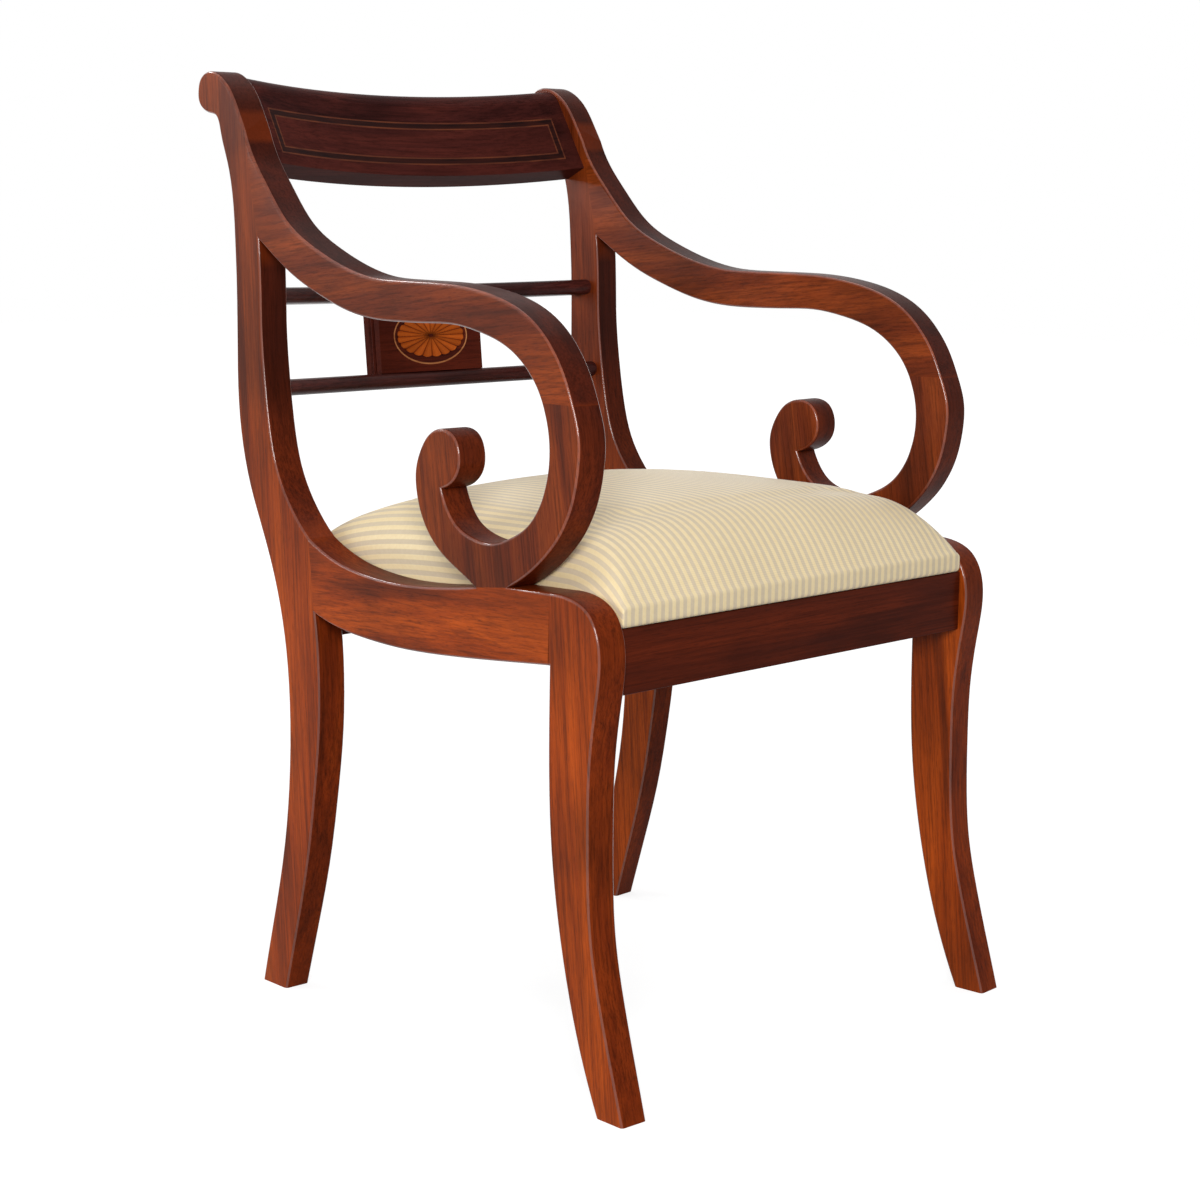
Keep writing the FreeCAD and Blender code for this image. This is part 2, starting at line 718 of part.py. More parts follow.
def petal(start, end):
    """Wedge of the fan with a rounded tip."""
    scallop = s.fan_tall / 2 * (end - start) / 4

    def on_oval(wide, tall, angle):
        return V(wide / 2 * math.cos(angle), tall / 2 * math.sin(angle), 0)

    def trimmed(wide, tall, angle, other):
        edge = on_oval(wide, tall, angle)
        return edge + (on_oval(wide, tall, other) - edge).normalize() * s.petal_gap / 2

    tip_wide = s.fan_wide - 2 * scallop
    tip_tall = s.fan_tall - 2 * scallop
    eye = s.fan_eye + 2 * s.petal_gap
    first = trimmed(eye, eye / 2, start, end)
    last = trimmed(eye, eye / 2, end, start)
    tip_first = trimmed(tip_wide, tip_tall, start, end)
    tip_last = trimmed(tip_wide, tip_tall, end, start)
    tip = on_oval(s.fan_wide, s.fan_tall, (start + end) / 2)
    return [straight(first, tip_first), Part.Arc(tip_first, tip, tip_last), straight(tip_last, last),
            straight(last, first)]


# Corner blocks and seat bearers

def make_corner_block(name, side_name, corner_y, inward, rail, neighbour):
    """Triangular block screwed to a seat rail and to a side frame; inward is 1 or -1 along Y."""
    side = SIDES[side_name]
    corner = inner_face(corner_y)
    far_y = corner_y + inward * s.block_leg
    body = new_body(name)
    plan = polygon(V(side * corner, corner_y, 0), V(side * (corner - s.block_leg), corner_y, 0),
                   V(side * inner_face(far_y), far_y, 0))
    sketch = add_sketch(body, "XY_Plane", plan, "plan", offset=deck - s.block_tall)
    add_feature(body, "Pad", sketch, "height", Length="sizes.block_tall")
    blanks[name] = body
    held = s.screw_length - s.screw_bite
    into_rail = V(side * (corner - held), corner_y + inward * held, deck - 0.75 * s.block_tall)
    add_screw(frame_screws, into_rail, V(0, -inward, 0), (name, rail))
    into_side = in_side_frame(side, s.side_thick + held, corner_y + inward * held,
                              deck - 0.25 * s.block_tall)
    outward = side_placement(side).Rotation.multVec(V(side, 0, 0))
    add_screw(frame_screws, into_side, outward, (name, side_name + "_" + neighbour))


def make_bearer(side_name):
    """Strip on the inside of a side rail, between the corner blocks, that the seat rests on."""
    side = SIDES[side_name]
    name = side_name + "_seat_bearer"
    first = front_rail_back + s.block_leg + s.end_gap + (s.side_thick + s.bearer_wide) * SPLAY_SLOPE
    last = s.rear_rail_reach - s.block_leg - s.end_gap
    corner = V(-s.side_thick - s.bearer_wide if side > 0 else s.side_thick, first, deck - s.bearer_tall)
    placement = side_placement(side).multiply(FreeCAD.Placement(corner, FreeCAD.Rotation()))
    bearer = solid("Box", name, placement, Length="sizes.bearer_wide", Height="sizes.bearer_tall")
    bearer.Width = last - first
    blanks[name] = bearer
    outward = side_placement(side).Rotation.multVec(V(side, 0, 0))
    for share in (1 / 6, 1 / 2, 5 / 6):
        place = in_side_frame(side, s.side_thick + s.bearer_wide, first + share * (last - first),
                              deck - s.bearer_tall / 2)
        add_screw(frame_screws, place, outward, (name, side_name + "_side_rail"))


# Drop-in seat, from the cloth under it to the crown of its cover

seat_front = rail_face
seat_rear = s.rear_rail_reach + s.seat_back_lap
dust_low = deck + s.rest_gap
bars_low = dust_low + s.dust_thick
bars_top = bars_low + s.bar_thick
hessian_low = bars_top + 2 * s.web_thick
hessian_top = hessian_low + s.hessian_thick
band_top = deck + s.band_height
wood_inset = s.cover_thick + s.cloth_gap
bars_front = seat_front + wood_inset
bars_rear = seat_rear - wood_inset


def make_sheet(name, inset, low, thick):
    body = new_body(name)
    plan = between_sides(seat_front + inset, seat_rear - inset, s.seat_gap + inset)
    outline = add_sketch(body, "XY_Plane", plan, "plan", offset=low)
    add_feature(body, "Pad", outline, "thickness", Length=thick)
    blanks[name] = body


def make_bar(name, plan):
    body = new_body(name)
    add_feature(body, "Pad", add_sketch(body, "XY_Plane", plan, "plan", offset=bars_low), "thickness",
                Length="sizes.bar_thick")
    blanks[name] = body


def make_seat_frame():
    inset = s.seat_gap + wood_inset
    front_inside = bars_front + s.bar_wide
    rear_inside = bars_rear - s.bar_wide
    make_bar("seat_front_bar", between_sides(bars_front, front_inside, inset))
    make_bar("seat_back_bar", between_sides(rear_inside, bars_rear, inset))
    for side_name, side in SIDES.items():
        name = "seat_" + side_name + "_bar"
        near = inner_face(front_inside) - inset
        far = inner_face(rear_inside) - inset
        make_bar(name, polygon(V(side * near, front_inside, 0), V(side * far, rear_inside, 0),
                               V(side * (far - s.bar_wide), rear_inside, 0),
                               V(side * (near - s.bar_wide), front_inside, 0)))
        middle = bars_low + s.bar_thick / 2
        for y, half, bar in ((front_inside, near, "seat_front_bar"), (rear_inside, far, "seat_back_bar")):
            add_dowel(seat_dowels, V(side * (half - s.bar_wide / 2), y, middle), V(0, 1, 0), (name, bar))


def make_webbing():
    straps = []
    margin = wood_inset + s.hem
    middle = (seat_front + seat_rear) / 2
    for step in (-1, 0, 1):
        low = V(step * s.web_pitch - s.web_wide / 2, seat_front + margin, bars_top)
        strap = solid("Box", "strap", FreeCAD.Placement(low, FreeCAD.Rotation()),
                      Length="sizes.web_wide", Height="sizes.web_thick")
        strap.Width = seat_rear - seat_front - 2 * margin
        straps.append(strap)
    for step in (-1, 0, 1):
        y = middle + step * s.web_pitch
        half = inner_face(y + s.web_wide / 2) - s.seat_gap - margin
        low = V(-half, y - s.web_wide / 2, bars_top + s.web_thick)
        strap = solid("Box", "strap", FreeCAD.Placement(low, FreeCAD.Rotation()),
                      Width="sizes.web_wide", Height="sizes.web_thick")
        strap.Length = 2 * half
        straps.append(strap)
    gather("seat_webbing", straps)


def crown(share):
    """Height of the crown along the seat, front to back, as a share of its rise."""
    return (1 - abs(2 * share ** 0.85 - 1) ** 3.75) ** 0.73


def cushion_section(y, share, inset, bottom):
    """Section across the seat: straight sides, round shoulders and a shallow arc over the top."""
    half = inner_face(y) - s.seat_gap - inset
    rise = max(s.crown_rise * crown(share), s.edge_rise) - inset
    slope = 0.25 * rise / half
    lean = 2 * math.atan(slope)
    shoulder = (rise - half * slope) / (math.cos(lean) - (1 - math.sin(lean)) * slope)

    def on_shoulder(angle):
        return V(half - shoulder + shoulder * math.sin(angle), band_top + shoulder * math.cos(angle), 0)

    def mirrored(point):
        return V(-point.x, point.y, 0)

    side = V(half, band_top, 0)
    low = V(half, bottom, 0)
    between = on_shoulder((math.pi / 2 + lean) / 2)
    join = on_shoulder(lean)
    top = V(0, band_top + rise, 0)
    return [
        straight(mirrored(low), low), straight(low, side), Part.Arc(side, between, join),
        Part.Arc(join, top, mirrored(join)), Part.Arc(mirrored(join), mirrored(between), mirrored(side)),
        straight(mirrored(side), mirrored(low)),
    ]


def add_cushion(body, kind, inset, bottom, name):
    """Loft through sections set closer together towards the front and back edges."""
    sections = []
    count = 10
    for index in range(count + 1):
        share = (1 - math.cos(math.pi * index / count)) / 2
        y = seat_front + inset + share * (seat_rear - seat_front - 2 * inset)
        sections.append(add_sketch(body, "XZ_Plane", cushion_section(y, share, inset, bottom),
                                   name + "_section", offset=-y))
    return add_feature(body, kind, sections[0], name, Sections=sections[1:])


def make_cushion():
    cover = new_body("seat_cover")
    add_cushion(cover, "AdditiveLoft", 0, dust_low, "outside")
    add_cushion(cover, "SubtractiveLoft", s.cover_thick, dust_low - s.bar_thick, "inside")
    blanks["seat_cover"] = cover
    stuffing = new_body("seat_stuffing")
    add_cushion(stuffing, "AdditiveLoft", wood_inset, hessian_top, "outside")
    blanks["seat_stuffing"] = stuffing


def make_tacks():
    """Tacks that hold the cover and the cloth under the seat, inboard of the rails and strips."""
    tacks = []
    middle = (seat_front + seat_rear) / 2
    front_y = front_rail_back + s.tack_inboard
    rear_y = s.rear_rail_reach - s.tack_inboard
    places = [(step * 0.8 * s.web_pitch, front_y, "seat_front_bar") for step in (-1.5, -0.5, 0.5, 1.5)]
    places += [(step * 0.8 * s.web_pitch, rear_y, "seat_back_bar") for step in (-1.5, -0.5, 0.5, 1.5)]
    for side_name, side in SIDES.items():
        for step in (-1, 0, 1):
            y = middle + step * 0.8 * s.web_pitch
            x = side * (inner_face(y) - s.bearer_wide - s.tack_inboard)
            places.append((x, y, "seat_" + side_name + "_bar"))
    up = V(0, 0, 1)
    for x, y, bar in places:
        head = solid("Cylinder", "tack_head", pointing(V(x, y, dust_low - s.tack_head_thick), up),
                     Radius="sizes.tack_head / 2", Height="sizes.tack_head_thick")
        shank = solid("Cylinder", "tack_shank", pointing(V(x, y, dust_low), up),
                      Radius="sizes.tack_shank / 2", Height="sizes.tack_length")
        tack = doc.addObject("Part::Fuse", "tack")
        tack.Base = head
        tack.Tool = shank
        tacks.append(tack)
        hole = solid("Cylinder", "tack_hole", pointing(V(x, y, dust_low), up),
                     Radius="sizes.tack_shank / 2 + sizes.fit_gap",
                     Height="sizes.tack_length + sizes.end_gap")
        bore(hole, "dust_cover", bar)
    gather("cover_tacks", tacks)


blanks = {}
frame_dowels = []
tablet_pins = []
frame_screws = []
seat_dowels = []

make_side_frames()
for rail in RAILS:
    make_rail(rail)
make_crest()
make_crest_border("crest_outer_string", 0, s.string_wide)
make_crest_border("crest_banding", s.string_wide, s.band_wide)
make_crest_border("crest_inner_string", s.string_wide + s.band_wide, s.string_wide)
make_stay("upper_stay", 1)
make_stay("lower_stay", -1)
make_tablet()
make_oval()
for side_name in SIDES:
    make_corner_block(side_name + "_front_block", side_name, front_rail_back, 1, "front_rail", "front_leg")
    make_corner_block(side_name + "_rear_block", side_name, s.rear_rail_reach, -1, "rear_rail", "side_rail")
    make_bearer(side_name)
make_seat_frame()
make_sheet("dust_cover", wood_inset + s.hem, dust_low, "sizes.dust_thick")
make_sheet("seat_hessian", wood_inset + s.hem, hessian_low, "sizes.hessian_thick")
make_webbing()
make_cushion()
make_tacks()
gather("frame_dowels", frame_dowels)
gather("tablet_pins", tablet_pins)
gather("frame_screws", frame_screws)
gather("seat_dowels", seat_dowels)
for name, blank in blanks.items():
    finish(name, blank)
doc.recompute()

for feature in doc.Objects:
    if "Invalid" in feature.State or "Error" in feature.State:
        raise RuntimeError("%s is %s" % (feature.Label, feature.State))
for piece in made:
    if piece.Shape.isNull() or not piece.Shape.isValid():
        raise RuntimeError("%s has no valid shape" % piece.Label)

os.makedirs("parts", exist_ok=True)
for piece in made:
    piece.Shape.exportStep("parts/" + piece.Label + ".step")
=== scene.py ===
import math

import bmesh
import bpy
from mathutils import Matrix, Vector
from mathutils.bvhtree import BVHTree


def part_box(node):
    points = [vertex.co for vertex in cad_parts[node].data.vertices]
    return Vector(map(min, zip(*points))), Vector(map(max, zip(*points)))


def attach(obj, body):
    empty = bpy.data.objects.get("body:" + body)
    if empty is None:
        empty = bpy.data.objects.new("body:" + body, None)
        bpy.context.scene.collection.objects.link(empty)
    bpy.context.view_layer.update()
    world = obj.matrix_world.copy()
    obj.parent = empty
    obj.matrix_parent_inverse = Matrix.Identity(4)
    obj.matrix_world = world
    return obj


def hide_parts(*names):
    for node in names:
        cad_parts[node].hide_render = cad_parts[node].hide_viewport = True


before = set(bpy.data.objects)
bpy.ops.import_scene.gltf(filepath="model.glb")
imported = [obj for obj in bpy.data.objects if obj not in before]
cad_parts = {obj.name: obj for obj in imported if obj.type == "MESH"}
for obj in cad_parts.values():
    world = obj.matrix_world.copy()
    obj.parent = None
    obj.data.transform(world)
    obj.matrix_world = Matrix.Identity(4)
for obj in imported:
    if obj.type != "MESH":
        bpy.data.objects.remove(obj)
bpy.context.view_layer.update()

SIDES = {"right": -1, "left": 1}
SIDE_PIECES = ("back_post", "side_rail", "front_leg", "arm", "arm_scroll")

# Sizes shared with the part, in metres and degrees
HALF_WIDTH = 0.2557
SPLAY = 3.07
SIDE_THICK = 0.032
FRONT_TAPER = 0.003
FRONT_LEG_TOP = 0.378
REAR_TAPER = 0.0025
REAR_LEG_TOP = 0.376
SEAT_FRONT = -0.273
SEAT_REAR = 0.146
SEAT_GAP = 0.0006
BAND_TOP = 0.4383
DUST_LOW = 0.4133
HESSIAN_TOP = 0.437
CROWN_RISE = 0.0615
TABLET_HEIGHT = 0.6245
TABLET_BACK = 0.201
TABLET_LEAN = 6.5
FAN_WIDE = 0.091
FAN_TALL = 0.044
FAN_PETALS = 20
WEB_WIDE = 0.05
WEB_PITCH = 0.115

ACROSS = (1, 0, 0)
FRONT_TO_BACK = (0, 1, 0)

# Camera: place in metres, turns in degrees, lens and sensor in millimetres
CAMERA_PLACE = (-1.7302, -1.6817, 0.7902)
CAMERA_BEARING = -46.056
CAMERA_TILT = 90 - 7.52
CAMERA_ROLL = 1.002
LENS = 75.1
SENSOR = 36
LENS_SHIFT = (0.002, -0.0808)

# Lamps: place, size in metres and power in watts; all of them face one point
LAMPS = {
    "key": ((-2.1, -2.0, 1.5), 1.0, 66),
    "left": ((-1.9, 1.9, 1.15), 0.9, 20),
    "top": ((0.6, 0.2, 2.6), 1.4, 10),
    "rim": ((-0.4, 1.9, 2.1), 0.35, 8),
}
LAMP_AIM = (0, 0, 0.45)
WORLD_LIGHT = 0.34
FLOOR_REACH = 9
FLOOR_GREY = 0.36
FLOOR_GLOW = 0.8
FLOOR_FADE = (0.7, 2.6)

# Heights between which the side frames' colour passes from the legs' to the arms'
TONE_CHANGE = (0.36, 0.62)

# Rounding of the side frames' arrises
ARRIS = 0.003
ARRIS_STEPS = 4

# Slant of a face to a side frame's outward direction: more than the first is a flat face, less than the second
# an edge, and between them an arris
FACE_SLANT = 0.9
EDGE_SLANT = 0.3

# Distances within which points of an outline, or two pieces, count as touching
FACE_TOUCH = 2e-5
SEAM_TOUCH = 8e-5
RUN_TOUCH = 5e-4
POINT_TOUCH = 2e-4
SHORTEST_RUN = 0.002

# Room round a side piece in its parting block: beside it, at its corners and in depth
BLOCK_ROOM = 0.002
BLOCK_CORNER_ROOM = 0.008
BLOCK_DEPTH_ROOM = 0.006

# Eased arrises: radius, steps, angle from which an edge is eased, and reach of what keeps it sharp
EASED_RADIUS = 0.001
EASED_STEPS = 3
EASED_ANGLE = 32
SEAM_REACH = 0.0001
FIXING_REACH = 0.0014
FLAT_ANGLE = 0.02
SMOOTH_ANGLE = 40

# Front of the cover: where it lies, and how far, how deep and how roundly its crease sinks there
COVER_FRONT = -0.2745
FRONT_SINK = 0.009
FRONT_DEEP = 0.08
FRONT_BEND = 2.3
LEAST_RISE = 0.003
COVER_INSET = 0.001
WADDING_INSET = 0.004
WADDING_FRONT = SEAT_FRONT + 0.009
BAR_CHAMFER = 0.007

# Stretch of the side frames' outline, in front of the arm loop, whose bend is evened out
BEND_FRONT = -0.19
BEND_LOW = 0.47
BEND_HIGH = 0.675
BEND_SPREAD = 0.013
BEND_STEP = 0.0025

# Cloth: width of a pair of stripes, cells of its mesh, and how far the padding may swell it
STRIPE_PITCH = 0.0093
WHOLE_STRIPES = 200
CELL = 0.0055
SWELL_CAP = 0.0025

# Crown of the cushion from front to back: where its top lies, how flat it is and how round its ends are
CROWN_SKEW = 0.85
CROWN_FLATNESS = 3.75
CROWN_ROUNDNESS = 0.73

# Crown from side to side: slope of its middle at the shoulders, and steps of the middle and of a shoulder
SHOULDER_SLOPE = 0.25
MIDDLE_STEPS = 60
SHOULDER_STEPS = 24

# Band under the crown and the cloth turned under it: steps, tuck of the lower edge and pull of each turn
BAND_STEPS = 5
UNDER_STEPS = 3
TUCK = 0.001
UNDER_PULL = 0.035

# Thin cloths: cells, thicknesses, room under them and how far the webs end inside the seat's edges
STRIP_CELL = 0.008
WEB_THICK = 0.0009
SHEET_THICK = 0.0007
WEB_CLEAR = 0.0001
WEB_CROSS_RISE = 0.001
WEB_END = 0.0097


def srgb(red, green, blue):
    """Linear colour from the 0 to 255 values that a screen shows."""
    def linear(value):
        share = value / 255
        return share / 12.92 if share <= 0.04045 else ((share + 0.055) / 1.055) ** 2.4
    return linear(red), linear(green), linear(blue), 1


def inner_face(y):
    """Distance of a side frame's inner face from the middle of the chair."""
    slope = math.tan(math.radians(SPLAY))
    return HALF_WIDTH - slope * y - SIDE_THICK / math.cos(math.radians(SPLAY))


# Camera, lamps, floor and backdrop

def make_camera():
    lens = bpy.data.cameras.new("camera")
    lens.lens = LENS
    lens.sensor_width = SENSOR
    lens.shift_x, lens.shift_y = LENS_SHIFT
    lens.clip_end = 50
    camera = bpy.data.objects.new("camera", lens)
    bpy.context.collection.objects.link(camera)
    camera.matrix_world = (
        Matrix.Translation(CAMERA_PLACE)
        @ Matrix.Rotation(math.radians(CAMERA_BEARING), 4, "Z")
        @ Matrix.Rotation(math.radians(CAMERA_TILT), 4, "X")
        @ Matrix.Rotation(math.radians(CAMERA_ROLL), 4, "Z")
    )
    bpy.context.scene.camera = camera
    bpy.context.scene.view_settings.view_transform = "Standard"


def make_lamp(name, place, size, power):
    light = bpy.data.lights.new(name, "AREA")
    light.size = size
    light.energy = power
    lamp = bpy.data.objects.new(name, light)
    bpy.context.collection.objects.link(lamp)
    lamp.location = place
    lamp.rotation_euler = (Vector(LAMP_AIM) - Vector(place)).to_track_quat("-Z", "Y").to_euler()


def make_floor():
    """Pale floor that takes the shadow; the camera and reflections see it fade to white with distance."""
    mesh = bpy.data.meshes.new("floor")
    corners = [(x * FLOOR_REACH, y * FLOOR_REACH, 0) for x, y in ((-1, -1), (1, -1), (1, 1), (-1, 1))]
    mesh.from_pydata(corners, [], [(0, 1, 2, 3)])
    floor = bpy.data.objects.new("floor", mesh)
    bpy.context.collection.objects.link(floor)
    material, tree, output = new_material("pale_floor")
    path = add(tree, "ShaderNodeLightPath")
    seen = maths(tree, "ADD", path.outputs["Is Camera Ray"], path.outputs["Is Glossy Ray"])
    distance = add(tree, "ShaderNodeVectorMath", {0: object_place(tree)}, operation="LENGTH").outputs["Value"]
    level = ranged(tree, distance, FLOOR_GLOW, 1, *FLOOR_FADE)
    matt = add(tree, "ShaderNodeBsdfDiffuse", {"Color": grey(FLOOR_GREY)})
    strength = maths(tree, "MULTIPLY", seen, level)
    glow = add(tree, "ShaderNodeEmission", {"Color": grey(1), "Strength": strength})
    both = add(tree, "ShaderNodeAddShader", {0: matt.outputs[0], 1: glow.outputs[0]})
    tree.links.new(both.outputs[0], output.inputs["Surface"])
    mesh.materials.append(material)


def make_world():
    """Plain light from all round, seen as white by the camera and in reflections."""
    world = bpy.data.worlds.new("studio")
    bpy.context.scene.world = world
    world.use_nodes = True
    tree = world.node_tree
    tree.nodes.clear()
    output = tree.nodes.new("ShaderNodeOutputWorld")
    path = add(tree, "ShaderNodeLightPath")
    shown = maths(tree, "MAXIMUM", path.outputs["Is Camera Ray"], path.outputs["Is Transmission Ray"])
    shown = maths(tree, "MAXIMUM", shown, path.outputs["Is Glossy Ray"])
    level = add(tree, "ShaderNodeMix", {"Factor": shown, "A": WORLD_LIGHT, "B": 1.0}, data_type="FLOAT")
    sky = add(tree, "ShaderNodeBackground", {"Color": grey(1), "Strength": level.outputs[0]})
    tree.links.new(sky.outputs[0], output.inputs["Surface"])


# Nodes

def new_material(name):
    material = bpy.data.materials.new(name)
    material.use_nodes = True
    tree = material.node_tree
    tree.nodes.clear()
    return material, tree, tree.nodes.new("ShaderNodeOutputMaterial")


def add(tree, kind, inputs=None, **settings):
    """New node; an input that is a socket is linked, and any other input is set."""
    node = tree.nodes.new(kind)
    for setting, value in settings.items():
        setattr(node, setting, value)
    for key, value in (inputs or {}).items():
        if isinstance(value, bpy.types.NodeSocket):
            tree.links.new(value, node.inputs[key])
        else:
            node.inputs[key].default_value = value
    return node


def ramp(tree, factor, *stops):
    node = add(tree, "ShaderNodeValToRGB", {"Fac": factor})
    elements = node.color_ramp.elements
    while len(elements) < len(stops):
        elements.new(1)
    for element, (place, colour) in zip(elements, stops):
        element.position = place
        element.color = colour
    return node.outputs["Color"]


def grey(value):
    return value, value, value, 1


def mixed(tree, factor, first, second, blend="MIX"):
    inputs = {"Fac": factor, "Color1": first, "Color2": second}
    return add(tree, "ShaderNodeMixRGB", inputs, blend_type=blend).outputs[0]


def maths(tree, operation, *values):
    return add(tree, "ShaderNodeMath", dict(enumerate(values)), operation=operation).outputs[0]


def ranged(tree, value, low, high, start=0, end=1):
    """A value between start and end, brought to lie between low and high."""
    inputs = {"Value": value, "From Min": start, "From Max": end, "To Min": low, "To Max": high}
    return add(tree, "ShaderNodeMapRange", inputs).outputs["Result"]


def noise(tree, place, scale, **inputs):
    return add(tree, "ShaderNodeTexNoise", {"Vector": place, "Scale": scale, **inputs}).outputs["Fac"]


def threads(tree, place, scale, direction):
    node = add(tree, "ShaderNodeTexWave", {"Vector": place, "Scale": scale}, bands_direction=direction)
    return node.outputs["Fac"]


def bumped(tree, height, strength, distance, **below):
    inputs = {"Height": height, "Strength": strength, "Distance": distance, **below}
    return add(tree, "ShaderNodeBump", inputs).outputs[0]


def object_place(tree):
    return add(tree, "ShaderNodeTexCoord").outputs["Object"]


def grain_place(tree, along, shift=(0, 0, 0)):
    """Object coordinates turned so that X runs along the grain."""
    turn = Vector(along).normalized().rotation_difference(Vector((1, 0, 0))).to_euler()
    inputs = {"Vector": object_place(tree), "Rotation": turn, "Location": shift}
    return add(tree, "ShaderNodeMapping", inputs).outputs[0]


def stretched(tree, place, scale):
    """Coordinates that draw a texture out along the grain."""
    return add(tree, "ShaderNodeMapping", {"Vector": place, "Scale": (scale, 1, 1)}).outputs[0]


def surface(material, tree, output, **inputs):
    named = {key.replace("_", " "): value for key, value in inputs.items()}
    shader = add(tree, "ShaderNodeBsdfPrincipled", named)
    tree.links.new(shader.outputs[0], output.inputs["Surface"])
    return material


# Materials

LUSTRES = {
    "soft": dict(IOR=1.15, Coat_Weight=0.25, Coat_Roughness=0.12, Coat_IOR=1.2),
    "low": dict(IOR=1.17, Specular_IOR_Level=0.15, Coat_Weight=0.05, Coat_Roughness=0.15, Coat_IOR=1.2),
    "dull": dict(IOR=1.1, Specular_IOR_Level=0.2),
    "arris_gloss": dict(IOR=1.3, Coat_Weight=0.8, Coat_Roughness=0.06, Coat_IOR=1.4),
}


def ribbons(tree, factor, light, mid, dark):
    return ramp(tree, factor, (0.28, dark), (0.46, mid), (0.64, light), (0.8, mid))


def polished_wood(name, along, tones, upper=None, shift=(0, 0, 0), lustre="soft"):
    """French-polished timber: ribbons of colour, fine streaks and short dark pores.

    Where upper tones are given, it passes over to them with height.
    """
    material, tree, output = new_material(name)
    place = grain_place(tree, along, shift)
    bands = noise(tree, stretched(tree, place, 0.09), 34, Detail=5, Roughness=0.55, Distortion=0.6)
    streaks = noise(tree, stretched(tree, place, 0.022), 420, Detail=4, Roughness=0.65)
    pores = noise(tree, stretched(tree, place, 0.055), 1500, Detail=2, Roughness=0.5)
    clouds = noise(tree, place, 9, Detail=2)
    ripples = noise(tree, stretched(tree, place, 0.4), 55, Detail=1)
    body = ribbons(tree, bands, *tones)
    if upper:
        height = add(tree, "ShaderNodeSeparateXYZ", {0: object_place(tree)}).outputs["Z"]
        body = mixed(tree, ranged(tree, height, 0, 1, *TONE_CHANGE), body, ribbons(tree, bands, *upper))
    streak = ramp(tree, streaks, (0.34, grey(0.36)), (0.55, grey(1)), (0.78, grey(1.2)))
    pitted = ramp(tree, pores, (0.34, grey(0.36)), (0.45, grey(1)))
    cloud = ramp(tree, clouds, (0.3, grey(0.62)), (0.5, grey(0.98)), (0.7, grey(1.16)))
    colour = mixed(tree, 0.8, body, streak, "MULTIPLY")
    colour = mixed(tree, 0.6, colour, pitted, "MULTIPLY")
    colour = mixed(tree, 1, colour, cloud, "MULTIPLY")
    # Convex edges pass towards the light tone: partly rubbed wear, partly a painted highlight
    corners = add(tree, "ShaderNodeNewGeometry").outputs["Pointiness"]
    edge_wear_and_highlight = ramp(tree, corners, (0.5, grey(0)), (0.6, grey(0.35)))
    colour = mixed(tree, edge_wear_and_highlight, colour, tones[0])
    pits = bumped(tree, pitted, 0.12, 0.0002)
    return surface(
        material, tree, output,
        Base_Color=colour,
        Roughness=ranged(tree, streaks, 0.42, 0.28),
        Normal=bumped(tree, ripples, 0.06, 0.002, Normal=pits),
        **LUSTRES[lustre],
    )


def bare_wood(name, along):
    material, tree, output = new_material(name)
    place = grain_place(tree, along)
    bands = noise(tree, stretched(tree, place, 0.05), 60, Detail=6)
    flecks = noise(tree, stretched(tree, place, 0.12), 900, Detail=1)
    colour = ramp(tree, bands, (0.3, srgb(176, 138, 98)), (0.7, srgb(214, 180, 138)))
    fleck = ramp(tree, flecks, (0.33, grey(0.62)), (0.42, grey(1)))
    colour = mixed(tree, 0.7, colour, fleck, "MULTIPLY")
    bump = bumped(tree, fleck, 0.2, 0.0003)
    return surface(material, tree, output, Base_Color=colour, Roughness=0.62, Normal=bump)


def veneer(name, light, dark):
    """Thin inlay whose grain runs across the chair."""
    material, tree, output = new_material(name)
    lines = noise(tree, stretched(tree, grain_place(tree, ACROSS), 0.04), 260, Detail=4)
    colour = ramp(tree, lines, (0.35, dark), (0.65, light))
    return surface(material, tree, output, Base_Color=colour, Roughness=0.3, **LUSTRES["low"])


def fan_veneer():
    """Satinwood petals, each scorched darker along one side and towards the middle."""
    material, tree, output = new_material("shaded_satinwood")
    lean = math.radians(TABLET_LEAN)
    middle = Matrix.Rotation(lean, 3, "X") @ Vector((0, TABLET_BACK, TABLET_HEIGHT))
    upright = {"Vector": object_place(tree), "Rotation": (lean, 0, 0), "Location": -middle}
    flat = add(tree, "ShaderNodeMapping", upright).outputs[0]
    axes = add(tree, "ShaderNodeSeparateXYZ", {0: flat})
    across = maths(tree, "DIVIDE", axes.outputs["X"], FAN_WIDE / 2)
    upward = maths(tree, "DIVIDE", axes.outputs["Z"], FAN_TALL / 2)
    angle = maths(tree, "ARCTAN2", upward, across)
    turns = maths(tree, "MULTIPLY_ADD", angle, FAN_PETALS / (2 * math.pi), FAN_PETALS)
    petal = ramp(
        tree, maths(tree, "FRACT", turns),
        (0, srgb(84, 30, 9)),
        (0.12, srgb(168, 74, 22)),
        (0.5, srgb(190, 92, 32)),
        (0.92, srgb(182, 84, 28)),
        (1, srgb(120, 48, 14)),
    )
    outward = maths(tree, "ADD", maths(tree, "POWER", across, 2), maths(tree, "POWER", upward, 2))
    scorch = ramp(tree, outward, (0.0, grey(0.35)), (0.06, grey(0.8)), (0.3, grey(1)))
    number = maths(tree, "FLOOR", turns)
    odd = add(tree, "ShaderNodeTexWhiteNoise", {"W": number}, noise_dimensions="1D")
    tint = ramp(tree, odd.outputs["Value"], (0, grey(0.78)), (1, grey(1.1)))
    fine = ramp(tree, noise(tree, flat, 700), (0.3, grey(0.88)), (0.7, grey(1.05)))
    colour = petal
    for shade in (scorch, tint, fine):
        colour = mixed(tree, 1, colour, shade, "MULTIPLY")
    return surface(material, tree, output, Base_Color=colour, Roughness=0.32, **LUSTRES["low"])


